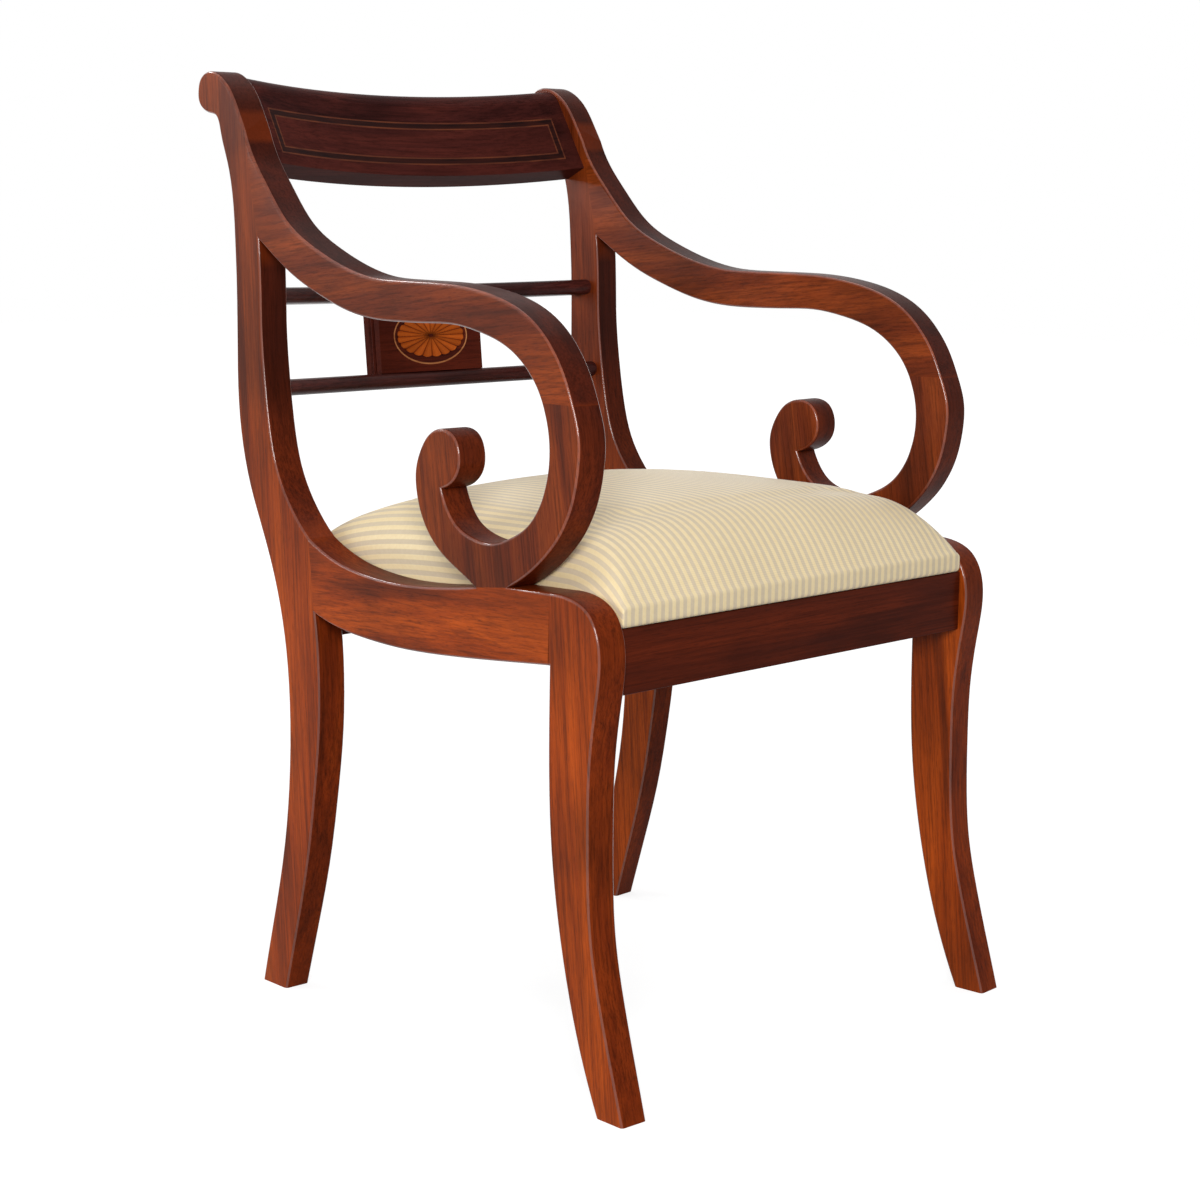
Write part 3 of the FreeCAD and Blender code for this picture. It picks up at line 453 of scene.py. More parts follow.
def striped_cloth():
    """Woven stripe: bands of golden satin and of silvery plain weave, running front to back."""
    material, tree, output = new_material("striped_cloth")
    place = add(tree, "ShaderNodeUVMap", uv_map="cloth").outputs[0]
    across = add(tree, "ShaderNodeSeparateXYZ", {0: place}).outputs["X"]
    count = maths(tree, "MULTIPLY_ADD", across, 1 / STRIPE_PITCH, WHOLE_STRIPES)
    share = maths(tree, "FRACT", count)
    stripe = ramp(tree, share, (0.0, grey(0)), (0.07, grey(1)), (0.5, grey(1)), (0.57, grey(0)))
    weave = mixed(tree, 0.5, threads(tree, place, 330, "X"), threads(tree, place, 290, "Y"))
    slub = noise(tree, place, 260, Detail=3)
    wash = noise(tree, place, 8, Detail=2)
    gold = mixed(tree, slub, srgb(236, 211, 160), srgb(248, 229, 184))
    silver = mixed(tree, slub, srgb(211, 193, 162), srgb(223, 206, 178))
    colour = mixed(tree, stripe, silver, gold)
    shade = ramp(tree, weave, (0.2, grey(0.9)), (0.8, grey(1.03)))
    fade = ramp(tree, wash, (0.3, grey(0.96)), (0.7, grey(1.02)))
    colour = mixed(tree, 1, colour, shade, "MULTIPLY")
    colour = mixed(tree, 1, colour, fade, "MULTIPLY")
    weave_bump = bumped(tree, weave, 0.35, 0.00025)
    return surface(
        material, tree, output,
        Base_Color=colour,
        Roughness=ranged(tree, stripe, 0.78, 0.46),
        Normal=bumped(tree, stripe, 0.25, 0.0003, Normal=weave_bump),
        Sheen_Weight=0.25,
        Sheen_Roughness=0.4,
    )


def plain_weave(name, dark, light, scale, roughness, strength):
    material, tree, output = new_material(name)
    place = object_place(tree)
    weave = mixed(tree, 0.5, threads(tree, place, scale, "X"), threads(tree, place, scale, "Y"), "MULTIPLY")
    weave = mixed(tree, 0.35, weave, noise(tree, place, 300, Detail=4))
    return surface(
        material, tree, output,
        Base_Color=ramp(tree, weave, (0.15, dark), (0.7, light)),
        Roughness=roughness,
        Normal=bumped(tree, weave, strength, 0.0005),
        Sheen_Weight=0.15,
    )


def metal(name, colour, roughness, metallic):
    material, tree, output = new_material(name)
    marks = noise(tree, object_place(tree), 500, Detail=3)
    return surface(
        material, tree, output,
        Base_Color=ramp(tree, marks, (0.35, colour), (0.7, tuple(min(1, 1.3 * part) for part in colour))),
        Roughness=ranged(tree, marks, roughness - 0.1, roughness + 0.15),
        Metallic=metallic,
    )


# Side frames, each shaped whole with rounded arrises and then parted along its seams

def side_matrix(side):
    """From a side frame's own coordinates, with x inward from its outer face, to the chair's."""
    turn = Matrix.Rotation(math.radians(side * SPLAY), 4, "Z")
    return Matrix.Translation((side * HALF_WIDTH, 0, 0)) @ turn @ Matrix.Diagonal((-side, 1, 1, 1))


def outer_taper(y, z):
    taper, top = (FRONT_TAPER, FRONT_LEG_TOP) if y < 0 else (REAR_TAPER, REAR_LEG_TOP)
    return taper * max(0, 1 - z / top) ** 2


def inner_taper(y, z):
    return REAR_TAPER * max(0, 1 - z / REAR_LEG_TOP) ** 2 if y > 0 else 0


def welded(node):
    """A CAD node's mesh with its corners joined."""
    work = bmesh.new()
    work.from_mesh(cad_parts[node].data)
    bmesh.ops.remove_doubles(work, verts=work.verts, dist=1e-6)
    return work


def outline_of(node, side):
    """Ordered points of a side piece's outer face, anticlockwise in its side view."""
    back = side_matrix(side).inverted()
    work = welded(node)
    for vertex in work.verts:
        vertex.co = back @ vertex.co
    on_face = set()
    for vertex in work.verts:
        if abs(vertex.co.x - outer_taper(vertex.co.y, vertex.co.z)) < FACE_TOUCH:
            on_face.add(vertex)
    following = {}
    for edge in work.edges:
        if len(edge.link_faces) == 2 and on_face.issuperset(edge.verts):
            flat = [on_face.issuperset(face.verts) for face in edge.link_faces]
            if flat.count(True) == 1:
                for vertex in edge.verts:
                    following.setdefault(vertex, []).append(edge.other_vert(vertex))
    first = next(iter(following))
    line = [first, following[first][0]]
    while True:
        ahead = [vertex for vertex in following[line[-1]] if vertex is not line[-2]]
        if not ahead or ahead[0] is first:
            break
        line.append(ahead[0])
    points = [Vector((vertex.co.y, vertex.co.z)) for vertex in line]
    work.free()
    area = sum(a.x * b.y - b.x * a.y for a, b in zip(points, points[1:] + points[:1]))
    return points if area > 0 else points[::-1]


def seam_flags(points, side, search):
    """For each edge of an outline, whether another piece meets it."""
    place = side_matrix(side)
    flags = []
    for first, second in zip(points, points[1:] + points[:1]):
        middle = (first + second) / 2
        spot = place @ Vector((SIDE_THICK * 0.2, middle.x, middle.y))
        flags.append(search.find_nearest(spot, SEAM_TOUCH)[0] is not None)
    return flags


def shown_runs(points, flags):
    """Stretches of an outline between its seams."""
    start = flags.index(True)
    points = points[start:] + points[:start]
    flags = flags[start:] + flags[:start]
    runs = []
    for index, flag in enumerate(flags):
        if flag:
            continue
        if not runs or flags[index - 1]:
            runs.append([points[index]])
        runs[-1].append(points[(index + 1) % len(points)])
    return [run for run in runs if (run[0] - run[-1]).length > SHORTEST_RUN]


def joined_loops(runs):
    """Closed outlines made of the runs, each followed by the one that starts where it ends."""
    loops = []
    left = list(runs)
    while left:
        loop = list(left.pop(0))
        while left:
            near = min(left, key=lambda run: (run[0] - loop[-1]).length)
            if (near[0] - loop[-1]).length > (loop[0] - loop[-1]).length:
                break
            left.remove(near)
            loop += near[1:] if (near[0] - loop[-1]).length < RUN_TOUCH else near
        following = loop[1:] + loop[:1]
        loops.append([point for point, after in zip(loop, following) if (after - point).length > POINT_TOUCH])
    return loops


def evened(loop):
    """The outline, with the bend in front of the arm loop spread along it."""
    inside = [point.x < BEND_FRONT and BEND_LOW < point.y < BEND_HIGH for point in loop]
    if True not in inside:
        return loop
    start = inside.index(False)
    loop = loop[start:] + loop[:start]
    inside = inside[start:] + inside[:start]
    first = inside.index(True) - 1
    last = len(inside) - inside[::-1].index(True)
    stretch = loop[first:last + 1]
    marks = [0.0]
    for near, far in zip(stretch, stretch[1:]):
        marks.append(marks[-1] + (far - near).length)
    count = round(marks[-1] / BEND_STEP)
    even = [at_length(stretch, marks, marks[-1] * step / count) for step in range(count + 1)]
    smooth = []
    for index in range(1, count):
        room = min(index, count - index) * BEND_STEP
        spread = min(BEND_SPREAD, room / 3)
        weights = [math.exp(-((index - other) * BEND_STEP / spread) ** 2 / 2) for other in range(count + 1)]
        total = sum((point * weight for point, weight in zip(even, weights)), Vector((0, 0)))
        smooth.append(total / sum(weights))
    return loop[:first + 1] + smooth + loop[last:]


def at_length(points, marks, wanted):
    """Point of a line at a distance along it; marks are the distances of its own points."""
    for index, mark in enumerate(marks[1:]):
        if wanted <= mark + 1e-9:
            part = (wanted - marks[index]) / max(mark - marks[index], 1e-9)
            return points[index].lerp(points[index + 1], part)
    return points[-1]


def offsets(points, widths, most):
    """How far each point moves so that every edge moves inward by its own width."""
    moves = []
    count = len(points)
    for index in range(count):
        before = (points[index] - points[index - 1]).normalized()
        after = (points[(index + 1) % count] - points[index]).normalized()
        first = Vector((-before.y, before.x))
        second = Vector((-after.y, after.x))
        wide_first = widths[index - 1]
        wide_second = widths[index]
        cross = first.x * second.y - first.y * second.x
        if abs(cross) < 0.02:
            move = (first * wide_first + second * wide_second) / 2
        else:
            move = Vector((wide_first * second.y - wide_second * first.y,
                           wide_second * first.x - wide_first * second.x)) / cross
        if move.length > most:
            move = move.normalized() * most
        moves.append(move)
    return moves


def fill(work, loops):
    edges = [work.edges.get(pair) or work.edges.new(pair)
             for loop in loops for pair in zip(loop, loop[1:] + loop[:1])]
    bmesh.ops.triangle_fill(work, use_beauty=True, use_dissolve=False, edges=edges)


def prism(loops_of_rings):
    """Closed mesh through rings of points; every loop has one ring for each level."""
    work = bmesh.new()
    first = []
    last = []
    for rings in loops_of_rings:
        levels = [[work.verts.new(point) for point in ring] for ring in rings]
        for low, high in zip(levels, levels[1:]):
            for index in range(len(low)):
                after = (index + 1) % len(low)
                work.faces.new((low[index], low[after], high[after], high[index]))
        first.append(levels[0])
        last.append(levels[-1])
    fill(work, first)
    fill(work, last)
    bmesh.ops.recalc_face_normals(work, faces=work.faces)
    return work


def made_object(name, work):
    mesh = bpy.data.meshes.new(name)
    work.to_mesh(mesh)
    work.free()
    piece = bpy.data.objects.new(name, mesh)
    bpy.context.collection.objects.link(piece)
    return piece


def rounded_frame(name, side, loops):
    """Both faces, the edge strips and the quarter-round arrises of one whole side frame."""
    place = side_matrix(side)
    loops_of_rings = []
    for loop in loops:
        widths = [0 if max(a.y, b.y) < 1e-4 else ARRIS for a, b in zip(loop, loop[1:] + loop[:1])]
        moves = offsets(loop, widths, 2 * ARRIS)
        rings = []
        for step in range(ARRIS_STEPS + 1):
            angle = math.pi / 2 * step / ARRIS_STEPS
            inset = 1 - math.sin(angle)
            depth = ARRIS * (1 - math.cos(angle))
            rings.append([place @ Vector((outer_taper(*point) + depth, *(point + inset * move)))
                          for point, move in zip(loop, moves)])
        for step in range(ARRIS_STEPS, -1, -1):
            angle = math.pi / 2 * step / ARRIS_STEPS
            inset = 1 - math.sin(angle)
            depth = SIDE_THICK - ARRIS * (1 - math.cos(angle))
            rings.append([place @ Vector((depth - inner_taper(*point), *(point + inset * move)))
                          for point, move in zip(loop, moves)])
        loops_of_rings.append(rings)
    return made_object(name, prism(loops_of_rings))


def parting_block(name, side, points, flags):
    """Prism that holds one piece of a side frame: exact at its seams and wider everywhere else."""
    place = side_matrix(side)
    moves = offsets(points, [0 if flag else -BLOCK_ROOM for flag in flags], BLOCK_CORNER_ROOM)
    rings = [[place @ Vector((depth, *(point + move))) for point, move in zip(points, moves)]
             for depth in (-BLOCK_DEPTH_ROOM, SIDE_THICK + BLOCK_DEPTH_ROOM)]
    return made_object(name, prism([rings]))


def parted(whole, block, name):
    """The part of a side frame that lies inside a parting block."""
    piece = bpy.data.objects.new(name, whole.data.copy())
    bpy.context.collection.objects.link(piece)
    cut = piece.modifiers.new("parting", "BOOLEAN")
    cut.operation = "INTERSECT"
    cut.solver = "EXACT"
    cut.object = block
    apply_modifiers(piece)
    shade(piece)
    return piece


# Other woodwork

def tree_of(names):
    """Search tree over the surfaces of some CAD nodes."""
    points = []
    faces = []
    for name in names:
        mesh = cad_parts[name].data
        first = len(points)
        points += [vertex.co.copy() for vertex in mesh.vertices]
        faces += [[first + index for index in polygon.vertices] for polygon in mesh.polygons]
    return BVHTree.FromPolygons(points, faces)


def eased(node, material, seams, fixings):
    """Stands for a wooden node, with the arrises eased that no seam or fixing touches."""
    work = welded(node)
    bmesh.ops.dissolve_limit(work, angle_limit=math.radians(FLAT_ANGLE), verts=work.verts, edges=work.edges)
    weight = work.edges.layers.float.new("bevel_weight_edge")
    searches = [(tree_of(seams), SEAM_REACH), (tree_of(fixings), FIXING_REACH)]
    for edge in work.edges:
        if len(edge.link_faces) != 2 or edge.calc_face_angle() < math.radians(EASED_ANGLE):
            continue
        middle = (edge.verts[0].co + edge.verts[1].co) / 2
        if all(search.find_nearest(middle, reach)[0] is None for search, reach in searches):
            edge[weight] = 1
    piece = made_object(node + "_shaped", work)
    if "custom_normal" in piece.data.attributes:
        piece.data.attributes.remove(piece.data.attributes["custom_normal"])
    bevel = piece.modifiers.new("arris", "BEVEL")
    bevel.limit_method = "WEIGHT"
    bevel.width = EASED_RADIUS
    bevel.segments = EASED_STEPS
    bevel.use_clamp_overlap = False
    apply_modifiers(piece)
    shade(piece)
    piece.data.materials.clear()
    piece.data.materials.append(material)
    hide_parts(node)
    return piece


def shade(piece):
    """Smooth over the curves, flat on the faces and sharp at the corners."""
    piece.data.shade_smooth()
    piece.data.set_sharp_from_angle(angle=math.radians(SMOOTH_ANGLE))
    piece.modifiers.new("flat_faces", "WEIGHTED_NORMAL").keep_sharp = True
    apply_modifiers(piece)


def apply_modifiers(piece):
    shaped = bpy.data.meshes.new_from_object(piece.evaluated_get(bpy.context.evaluated_depsgraph_get()))
    piece.modifiers.clear()
    piece.data = shaped


def finish_node(name, material):
    """A CAD node that stays as it is, with its finish."""
    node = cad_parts[name]
    for slot in node.material_slots:
        slot.material = material


# Light, middle and dark tone of each wood
LEG_TONES = (srgb(178, 76, 18), srgb(146, 57, 12), srgb(88, 33, 8))
# Leg edges: darker than the faces, partly the edge grain's own colour and partly painted shade
LEG_EDGE_TONES = (srgb(138, 54, 16), srgb(112, 40, 12), srgb(74, 26, 9))
ARM_TONES = (srgb(132, 58, 22), srgb(102, 40, 16), srgb(62, 23, 11))
# Arm edges: darker still, partly their own colour and partly painted shade on the tops and fronts
ARM_EDGE_TONES = (srgb(70, 25, 15), srgb(53, 19, 13), srgb(34, 12, 10))
# Arrises: lighter tones that paint a highlight line along every rounded arris
ARRIS_HIGHLIGHT_TONES = (srgb(140, 66, 36), srgb(120, 52, 30), srgb(92, 38, 24))
RAIL_TONES = (srgb(96, 34, 14), srgb(74, 25, 11), srgb(46, 15, 9))
CREST_TONES = (srgb(80, 34, 28), srgb(62, 26, 23), srgb(42, 17, 16))
TABLET_TONES = (srgb(92, 34, 20), srgb(72, 24, 16), srgb(48, 16, 12))

# Direction of the grain in each side piece
GRAIN = {
    "back_post": (0, 0.08, 1),
    "front_leg": (0, 0.1, 1),
    "side_rail": (0, 1, -0.05),
    "arm": (0, 1, -0.12),
    "arm_scroll": (0, 0.16, 1),
}


def make_side_frames():
    for side_name, side in SIDES.items():
        outlines = {}
        runs = []
        for piece in SIDE_PIECES:
            others = [side_name + "_" + other for other in SIDE_PIECES if other != piece]
            points = outline_of(side_name + "_" + piece, side)
            flags = seam_flags(points, side, tree_of(others))
            outlines[piece] = points, flags
            runs += shown_runs(points, flags)
        loops = [evened(loop) for loop in joined_loops(runs)]
        whole = rounded_frame(side_name + "_whole", side, loops)
        for index, piece in enumerate(SIDE_PIECES):
            node = side_name + "_" + piece
            block = parting_block(node + "_block", side, *outlines[piece])
            shaped = parted(whole, block, node + "_shaped")
            bpy.data.objects.remove(block)
            shift = (0.7 * index, 0.31 * side, 0.17 * index)
            shaped.data.materials.clear()
            faces = ARM_TONES if piece == "arm_scroll" else LEG_TONES
            for kind, tones, upper, lustre in (
                ("_faces", faces, ARM_TONES, "soft"),
                # Edges: darker tones, partly the grain's own colour and partly painted shade
                ("_edges", LEG_EDGE_TONES, ARM_EDGE_TONES, "low"),
                # Arrises: lighter tones, a painted highlight, with a glossy lustre
                ("_arrises", ARRIS_HIGHLIGHT_TONES, None, "arris_gloss"),
            ):
                material = polished_wood(node + kind, GRAIN[piece], tones, upper, shift, lustre)
                shaped.data.materials.append(material)
            outward = side_matrix(side).to_3x3() @ Vector((1, 0, 0))
            # Faces are sorted by which way they look: flat faces, edges with painted shade, arrises with a
            # painted highlight
            for face in shaped.data.polygons:
                slant = abs(face.normal.dot(outward))
                if slant > FACE_SLANT:
                    face.material_index = 0
                elif slant < EDGE_SLANT:
                    face.material_index = 1
                else:
                    face.material_index = 2
            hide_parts(node)
            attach(shaped, "frame")
        bpy.data.objects.remove(whole)


def make_cross_rails():
    rails = polished_wood("rail_mahogany", ACROSS, RAIL_TONES, lustre="low")
    crest = polished_wood("crest_mahogany", ACROSS, CREST_TONES, shift=(0.4, 0.3, 0.1), lustre="dull")
    stays = polished_wood("stay_mahogany", ACROSS, CREST_TONES, shift=(0.9, 0.2, 0.4))
    tablet = polished_wood("tablet_mahogany", ACROSS, TABLET_TONES, shift=(0.1, 0.6, 0.3), lustre="low")
    for end, upright in (("front", "front_leg"), ("rear", "back_post")):
        seams = [side_name + "_" + upright for side_name in SIDES]
        blocks = [side_name + "_" + end + "_block" for side_name in SIDES]
        shaped = eased(end + "_rail", rails, seams, ["frame_screws"] + blocks)
        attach(shaped, "frame")
    finish_node("crest_rail", crest)
    finish_node("upper_stay", stays)
    finish_node("lower_stay", stays)
    finish_node("tablet", tablet)


def make_inlays():
    string = veneer("boxwood_string", srgb(196, 132, 84), srgb(160, 98, 60))
    banding = veneer("dark_banding", srgb(48, 18, 13), srgb(28, 10, 9))
    ground = veneer("dark_ground", srgb(92, 34, 20), srgb(60, 20, 14))
    faded = veneer("faded_string", srgb(104, 54, 34), srgb(74, 36, 26))
    finish_node("crest_outer_string", faded)
    finish_node("crest_inner_string", faded)
    finish_node("tablet_oval_string", string)
    finish_node("crest_banding", banding)
    finish_node("tablet_ground", ground)
    finish_node("tablet_fan", fan_veneer())


def make_plain_woodwork():
    along = bare_wood("beech_along", FRONT_TO_BACK)
    across = bare_wood("beech_across", ACROSS)
    for side_name in SIDES:
        for piece in ("front_block", "rear_block"):
            finish_node(side_name + "_" + piece, across)
        finish_node(side_name + "_seat_bearer", along)
        finish_node("seat_" + side_name + "_bar", along)
    for node in ("seat_back_bar", "frame_dowels", "tablet_pins", "seat_dowels"):
        finish_node(node, across)
    finish_node("frame_screws", metal("screw_steel", srgb(150, 150, 152), 0.35, 1.0))
    finish_node("cover_tacks", metal("tack_iron", srgb(38, 42, 54), 0.4, 0.9))


def plane_front_bar():
    """Stands for the seat's front bar, planed off under the cloth along its front and its ends."""
    node = "seat_front_bar"
    low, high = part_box(node)
    work = welded(node)
    for corner, outward in (
        ((0, low.y, high.z - BAR_CHAMFER), (0, -1, 1)),
        ((low.x, 0, high.z - BAR_CHAMFER), (-1, 0, 1)),
        ((high.x, 0, high.z - BAR_CHAMFER), (1, 0, 1)),
    ):
        cut = bmesh.ops.bisect_plane(
            work,
            geom=work.verts[:] + work.edges[:] + work.faces[:],
            dist=1e-7,
            plane_co=corner,
            plane_no=outward,
            clear_outer=True,
        )
        rim = [part for part in cut["geom_cut"] if isinstance(part, bmesh.types.BMEdge)]
        bmesh.ops.triangle_fill(work, use_beauty=True, use_dissolve=True, edges=rim)
    bmesh.ops.recalc_face_normals(work, faces=work.faces)
    bar = made_object("planed_front_bar", work)
    bar.data.materials.clear()
    bar.data.materials.append(bare_wood("beech_front", ACROSS))
    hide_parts(node)
    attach(bar, "seat")


# Seat cushion

def crown(share):
    """Height of the crown along the seat, front to back, as a share of its rise."""
    return (1 - abs(2 * share ** CROWN_SKEW - 1) ** CROWN_FLATNESS) ** CROWN_ROUNDNESS


def band_height(y):
    """Height of the crease round the cushion, which dips towards the front."""
    return BAND_TOP - FRONT_SINK * max(0, 1 - (y - COVER_FRONT) / FRONT_DEEP) ** 2


def top_height(y):
    """Height of the cushion along its middle: the crown, with a gentler slope up from the front crease."""
    length = SEAT_REAR - COVER_FRONT
    depth = y - COVER_FRONT
    if depth > FRONT_DEEP:
        return BAND_TOP + CROWN_RISE * crown(min(1, depth / length))
    low = BAND_TOP - FRONT_SINK
    high = BAND_TOP + CROWN_RISE * crown(FRONT_DEEP / length)
    return low + (high - low) * (1 - (1 - max(0, depth) / FRONT_DEEP) ** FRONT_BEND)


def section_line(y, inset, lowered):
    """Points across the seat from one side of its crown to the other, with their lengths along the cloth."""
    half = inner_face(y) - SEAT_GAP - inset
    rise = max(top_height(y) - band_height(y) - lowered, LEAST_RISE)
    slope = SHOULDER_SLOPE * rise / half
    lean = 2 * math.atan(slope)
    shoulder = (rise - half * slope) / (math.cos(lean) - (1 - math.sin(lean)) * slope)
    join = (half - shoulder + shoulder * math.sin(lean), shoulder * math.cos(lean))
    centre_drop = (join[0] ** 2 + (rise - join[1]) ** 2) / (2 * max(rise - join[1], 1e-6))
    top_angle = math.asin(min(1, join[0] / centre_drop))
    points = []
    for step in range(MIDDLE_STEPS + 1):
        angle = -top_angle + 2 * top_angle * step / MIDDLE_STEPS
        points.append((centre_drop * math.sin(angle), rise - centre_drop * (1 - math.cos(angle))))
    edge = []
    for step in range(1, SHOULDER_STEPS + 1):
        angle = lean + (math.pi / 2 - lean) * step / SHOULDER_STEPS
        edge.append((half - shoulder + shoulder * math.sin(angle), shoulder * math.cos(angle)))
    points += edge
    points = [(-x, z) for x, z in reversed(edge)] + points
    lengths = [0.0]
    for first, second in zip(points, points[1:]):
        lengths.append(lengths[-1] + math.dist(first, second))
    return points, [length - lengths[-1] / 2 for length in lengths]


def along_line(points, lengths, share):
    """Point at a share of a section's length, and its distance from the middle along the cloth."""
    wanted = lengths[0] + share * (lengths[-1] - lengths[0])
    for (first, second), (low, high) in zip(zip(points, points[1:]), zip(lengths, lengths[1:])):
        if wanted <= high + 1e-9:
            part = (wanted - low) / max(high - low, 1e-9)
            return first[0] + part * (second[0] - first[0]), first[1] + part * (second[1] - first[1]), wanted
    return points[-1][0], points[-1][1], wanted


def cushion_mesh(name, front, inset, lowered, bottom, turned_under):
    """Crown of the seat and the straight band under it, as one mesh with the cloth's own coordinates.

    Rows lie closer together at the front and the back, where the crown bends most.
    """
    work = bmesh.new()
    cloth = work.loops.layers.uv.new("cloth")
    length = SEAT_REAR - inset - front
    rows = round(length / CELL)
    columns = round(2 * inner_face(SEAT_FRONT) / CELL)
    grid = []
    flat_place = {}
    for row in range(rows + 1):
        part = row / rows
        share = (1 - math.cos(math.pi * part)) / 4 + part / 2
        y = front + share * length
        points, lengths = section_line(y, inset, lowered)
        line = []
        for column in range(columns + 1):
            x, z, across = along_line(points, lengths, column / columns)
            vertex = work.verts.new((x, y, max(bottom, band_height(y) + z)))
            flat_place[vertex] = (across, y)
            line.append(vertex)
        grid.append(line)
    for low, high in zip(grid, grid[1:]):
        for column in range(columns):
            work.faces.new((low[column], low[column + 1], high[column + 1], high[column]))
    edge = grid[0] + [line[-1] for line in grid[1:]] + grid[-1][-2::-1] + [line[0] for line in grid[-2:0:-1]]
    middle = (SEAT_FRONT + SEAT_REAR) / 2
    above = edge
    for step in range(1, BAND_STEPS + 1 + (UNDER_STEPS if turned_under else 0)):
        below = []
        for vertex, start in zip(above, edge):
            low = start.co.copy()
            if step <= BAND_STEPS:
                low.z = start.co.z + (bottom - start.co.z) * step / BAND_STEPS
                if turned_under and step == BAND_STEPS:
                    low.x -= math.copysign(TUCK, low.x)
                    low.y += TUCK if low.y < 0 else -TUCK
            else:
                pull = 1 - UNDER_PULL * (step - BAND_STEPS)
                low.x *= pull
                low.y = (low.y - middle) * pull + middle
                low.z = bottom
            new = work.verts.new(low)
            across, forward = flat_place[start]
            flat_place[new] = (across, forward + (start.co.z - low.z))
            below.append(new)
        for first in range(len(edge)):
            second = (first + 1) % len(edge)
            work.faces.new((above[second], above[first], below[first], below[second]))
        above = below
    work.normal_update()
    for face in work.faces:
        sideways = abs(face.normal.x) > 0.8
        for loop in face.loops:
            across, forward = flat_place[loop.vert]
            crease = band_height(loop.vert.co.y)
            if sideways and loop.vert.co.z < crease - 1e-4:
                across += math.copysign(crease - loop.vert.co.z, across)
            loop[cloth].uv = (across, forward)
    piece = made_object(name, work)
    piece.data.shade_smooth()
    return piece


def puff(piece, cap):
    """Lets the padding swell the cloth, as far as the cap, with the lower edge held by its tacks."""
    before = [vertex.co.copy() for vertex in piece.data.vertices]
    held = piece.vertex_groups.new(name="held")
    for vertex in piece.data.vertices:
        height = (vertex.co.z - DUST_LOW) / (BAND_TOP - DUST_LOW)
        held.add([vertex.index], max(0.0, min(1.0, 1.3 - height)), "REPLACE")
    cloth = piece.modifiers.new("cloth", "CLOTH")
    cloth.settings.use_pressure = True
    cloth.settings.uniform_pressure_force = 4
    cloth.settings.vertex_group_mass = "held"
    cloth.settings.tension_stiffness = 18
    cloth.settings.bending_stiffness = 0.6
    cloth.settings.effector_weights.gravity = 0
    scene = bpy.context.scene
    for number in range(1, 21):
        scene.frame_set(number)
    after = piece.evaluated_get(bpy.context.evaluated_depsgraph_get()).to_mesh()
    places = [vertex.co.copy() for vertex in after.vertices]
    piece.modifiers.clear()
    scene.frame_set(1)
    outward = [vertex.normal.copy() for vertex in piece.data.vertices]
    for vertex, start, end, normal in zip(piece.data.vertices, before, places, outward):
        vertex.co = start + normal * max(0, min(cap, (end - start).dot(normal)))
    keep_between_sides(piece)


def keep_between_sides(piece):
    for vertex in piece.data.vertices:
        limit = inner_face(vertex.co.y) - 0.0004
        vertex.co.x = max(-limit, min(limit, vertex.co.x))


def make_seat():
    cover = cushion_mesh("striped_cover", COVER_FRONT, COVER_INSET, 0, DUST_LOW, True)
    puff(cover, SWELL_CAP)
    cover.data.materials.append(striped_cloth())
    finer = cover.modifiers.new("finer", "SUBSURF")
    finer.levels = 1
    finer.render_levels = 1
    apply_modifiers(cover)
    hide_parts("seat_cover")
    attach(cover, "seat")

    stuffing = cushion_mesh("wadding_pad", WADDING_FRONT, WADDING_INSET, WADDING_INSET, HESSIAN_TOP, False)
    wadding = plain_weave("wadding", srgb(214, 206, 190), srgb(238, 232, 220), 60, 1, 0.3)
    stuffing.data.materials.append(wadding)
    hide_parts("seat_stuffing")
    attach(stuffing, "seat")


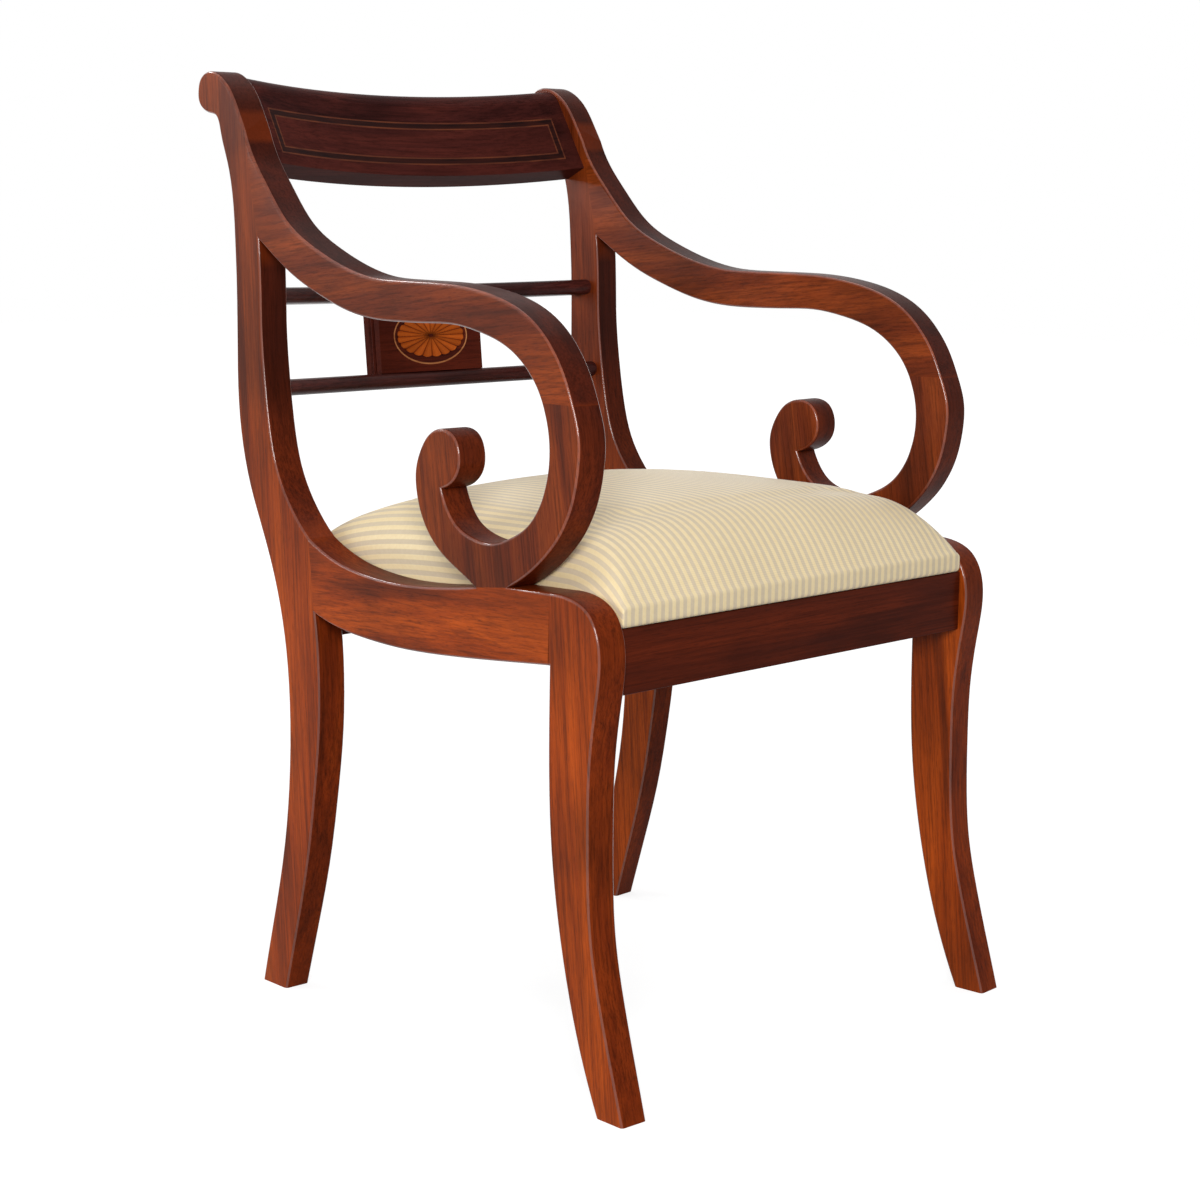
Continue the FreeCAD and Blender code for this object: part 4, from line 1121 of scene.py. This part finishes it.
def strip(name, low, high, thick):
    """Thin woven sheet, flat between two corners."""
    work = bmesh.new()
    size = Vector(high) - Vector(low)
    columns = max(4, round(size.x / STRIP_CELL))
    rows = max(4, round(size.y / STRIP_CELL))
    grid = []
    for row in range(rows + 1):
        line = []
        for column in range(columns + 1):
            x = low[0] + size.x * column / columns
            y = low[1] + size.y * row / rows
            line.append(work.verts.new((x, y, low[2])))
        grid.append(line)
    for near, far in zip(grid, grid[1:]):
        for column in range(columns):
            work.faces.new((near[column], near[column + 1], far[column + 1], far[column]))
    piece = made_object(name, work)
    piece.data.shade_smooth()
    body = piece.modifiers.new("thickness", "SOLIDIFY")
    body.thickness = thick
    body.offset = 1
    apply_modifiers(piece)
    return piece


def declare_cloth(piece, node):
    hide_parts(node)
    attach(piece, "seat")


def make_seat_cloths():
    jute = plain_weave("jute_webbing", srgb(120, 92, 58), srgb(196, 160, 108), 420, 0.9, 0.8)
    sacking = plain_weave("hessian", srgb(112, 84, 50), srgb(186, 150, 100), 300, 0.95, 1)
    cotton = plain_weave("black_cotton", srgb(18, 18, 18), srgb(44, 43, 42), 500, 0.9, 0.4)
    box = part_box("seat_webbing")
    middle = (SEAT_FRONT + SEAT_REAR) / 2
    level = box[0].z + WEB_CLEAR
    for number, step in enumerate((-1, 0, 1), 1):
        x = step * WEB_PITCH
        low = (x - WEB_WIDE / 2, box[0].y, level)
        high = (x + WEB_WIDE / 2, box[1].y, level)
        strap = strip("web_long_%d" % number, low, high, WEB_THICK)
        strap.data.materials.append(jute)
        declare_cloth(strap, "seat_webbing")
        y = middle + step * WEB_PITCH
        half = inner_face(y + WEB_WIDE / 2) - SEAT_GAP - WEB_END
        low = (-half, y - WEB_WIDE / 2, level + WEB_CROSS_RISE)
        high = (half, y + WEB_WIDE / 2, level + WEB_CROSS_RISE)
        strap = strip("web_cross_%d" % number, low, high, WEB_THICK)
        strap.data.materials.append(jute)
        declare_cloth(strap, "seat_webbing")
    for name, node, slot, material in (
        ("hessian_sheet", "seat_hessian", "jute", sacking),
        ("dust_sheet", "dust_cover", "dust_cloth", cotton),
    ):
        low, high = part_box(node)
        sheet = strip(name, (low.x, low.y, low.z), (high.x, high.y, low.z), SHEET_THICK)
        for vertex in sheet.data.vertices:
            share = (inner_face(vertex.co.y) - (inner_face(low.y) - high.x)) / high.x
            vertex.co.x *= min(1, share)
        sheet.data.materials.append(material)
        declare_cloth(sheet, node)


make_camera()
make_floor()
make_world()
for lamp_name, lamp in LAMPS.items():
    make_lamp(lamp_name, *lamp)
make_side_frames()
make_cross_rails()
make_inlays()
make_plain_woodwork()
plane_front_bar()
make_seat()
make_seat_cloths()
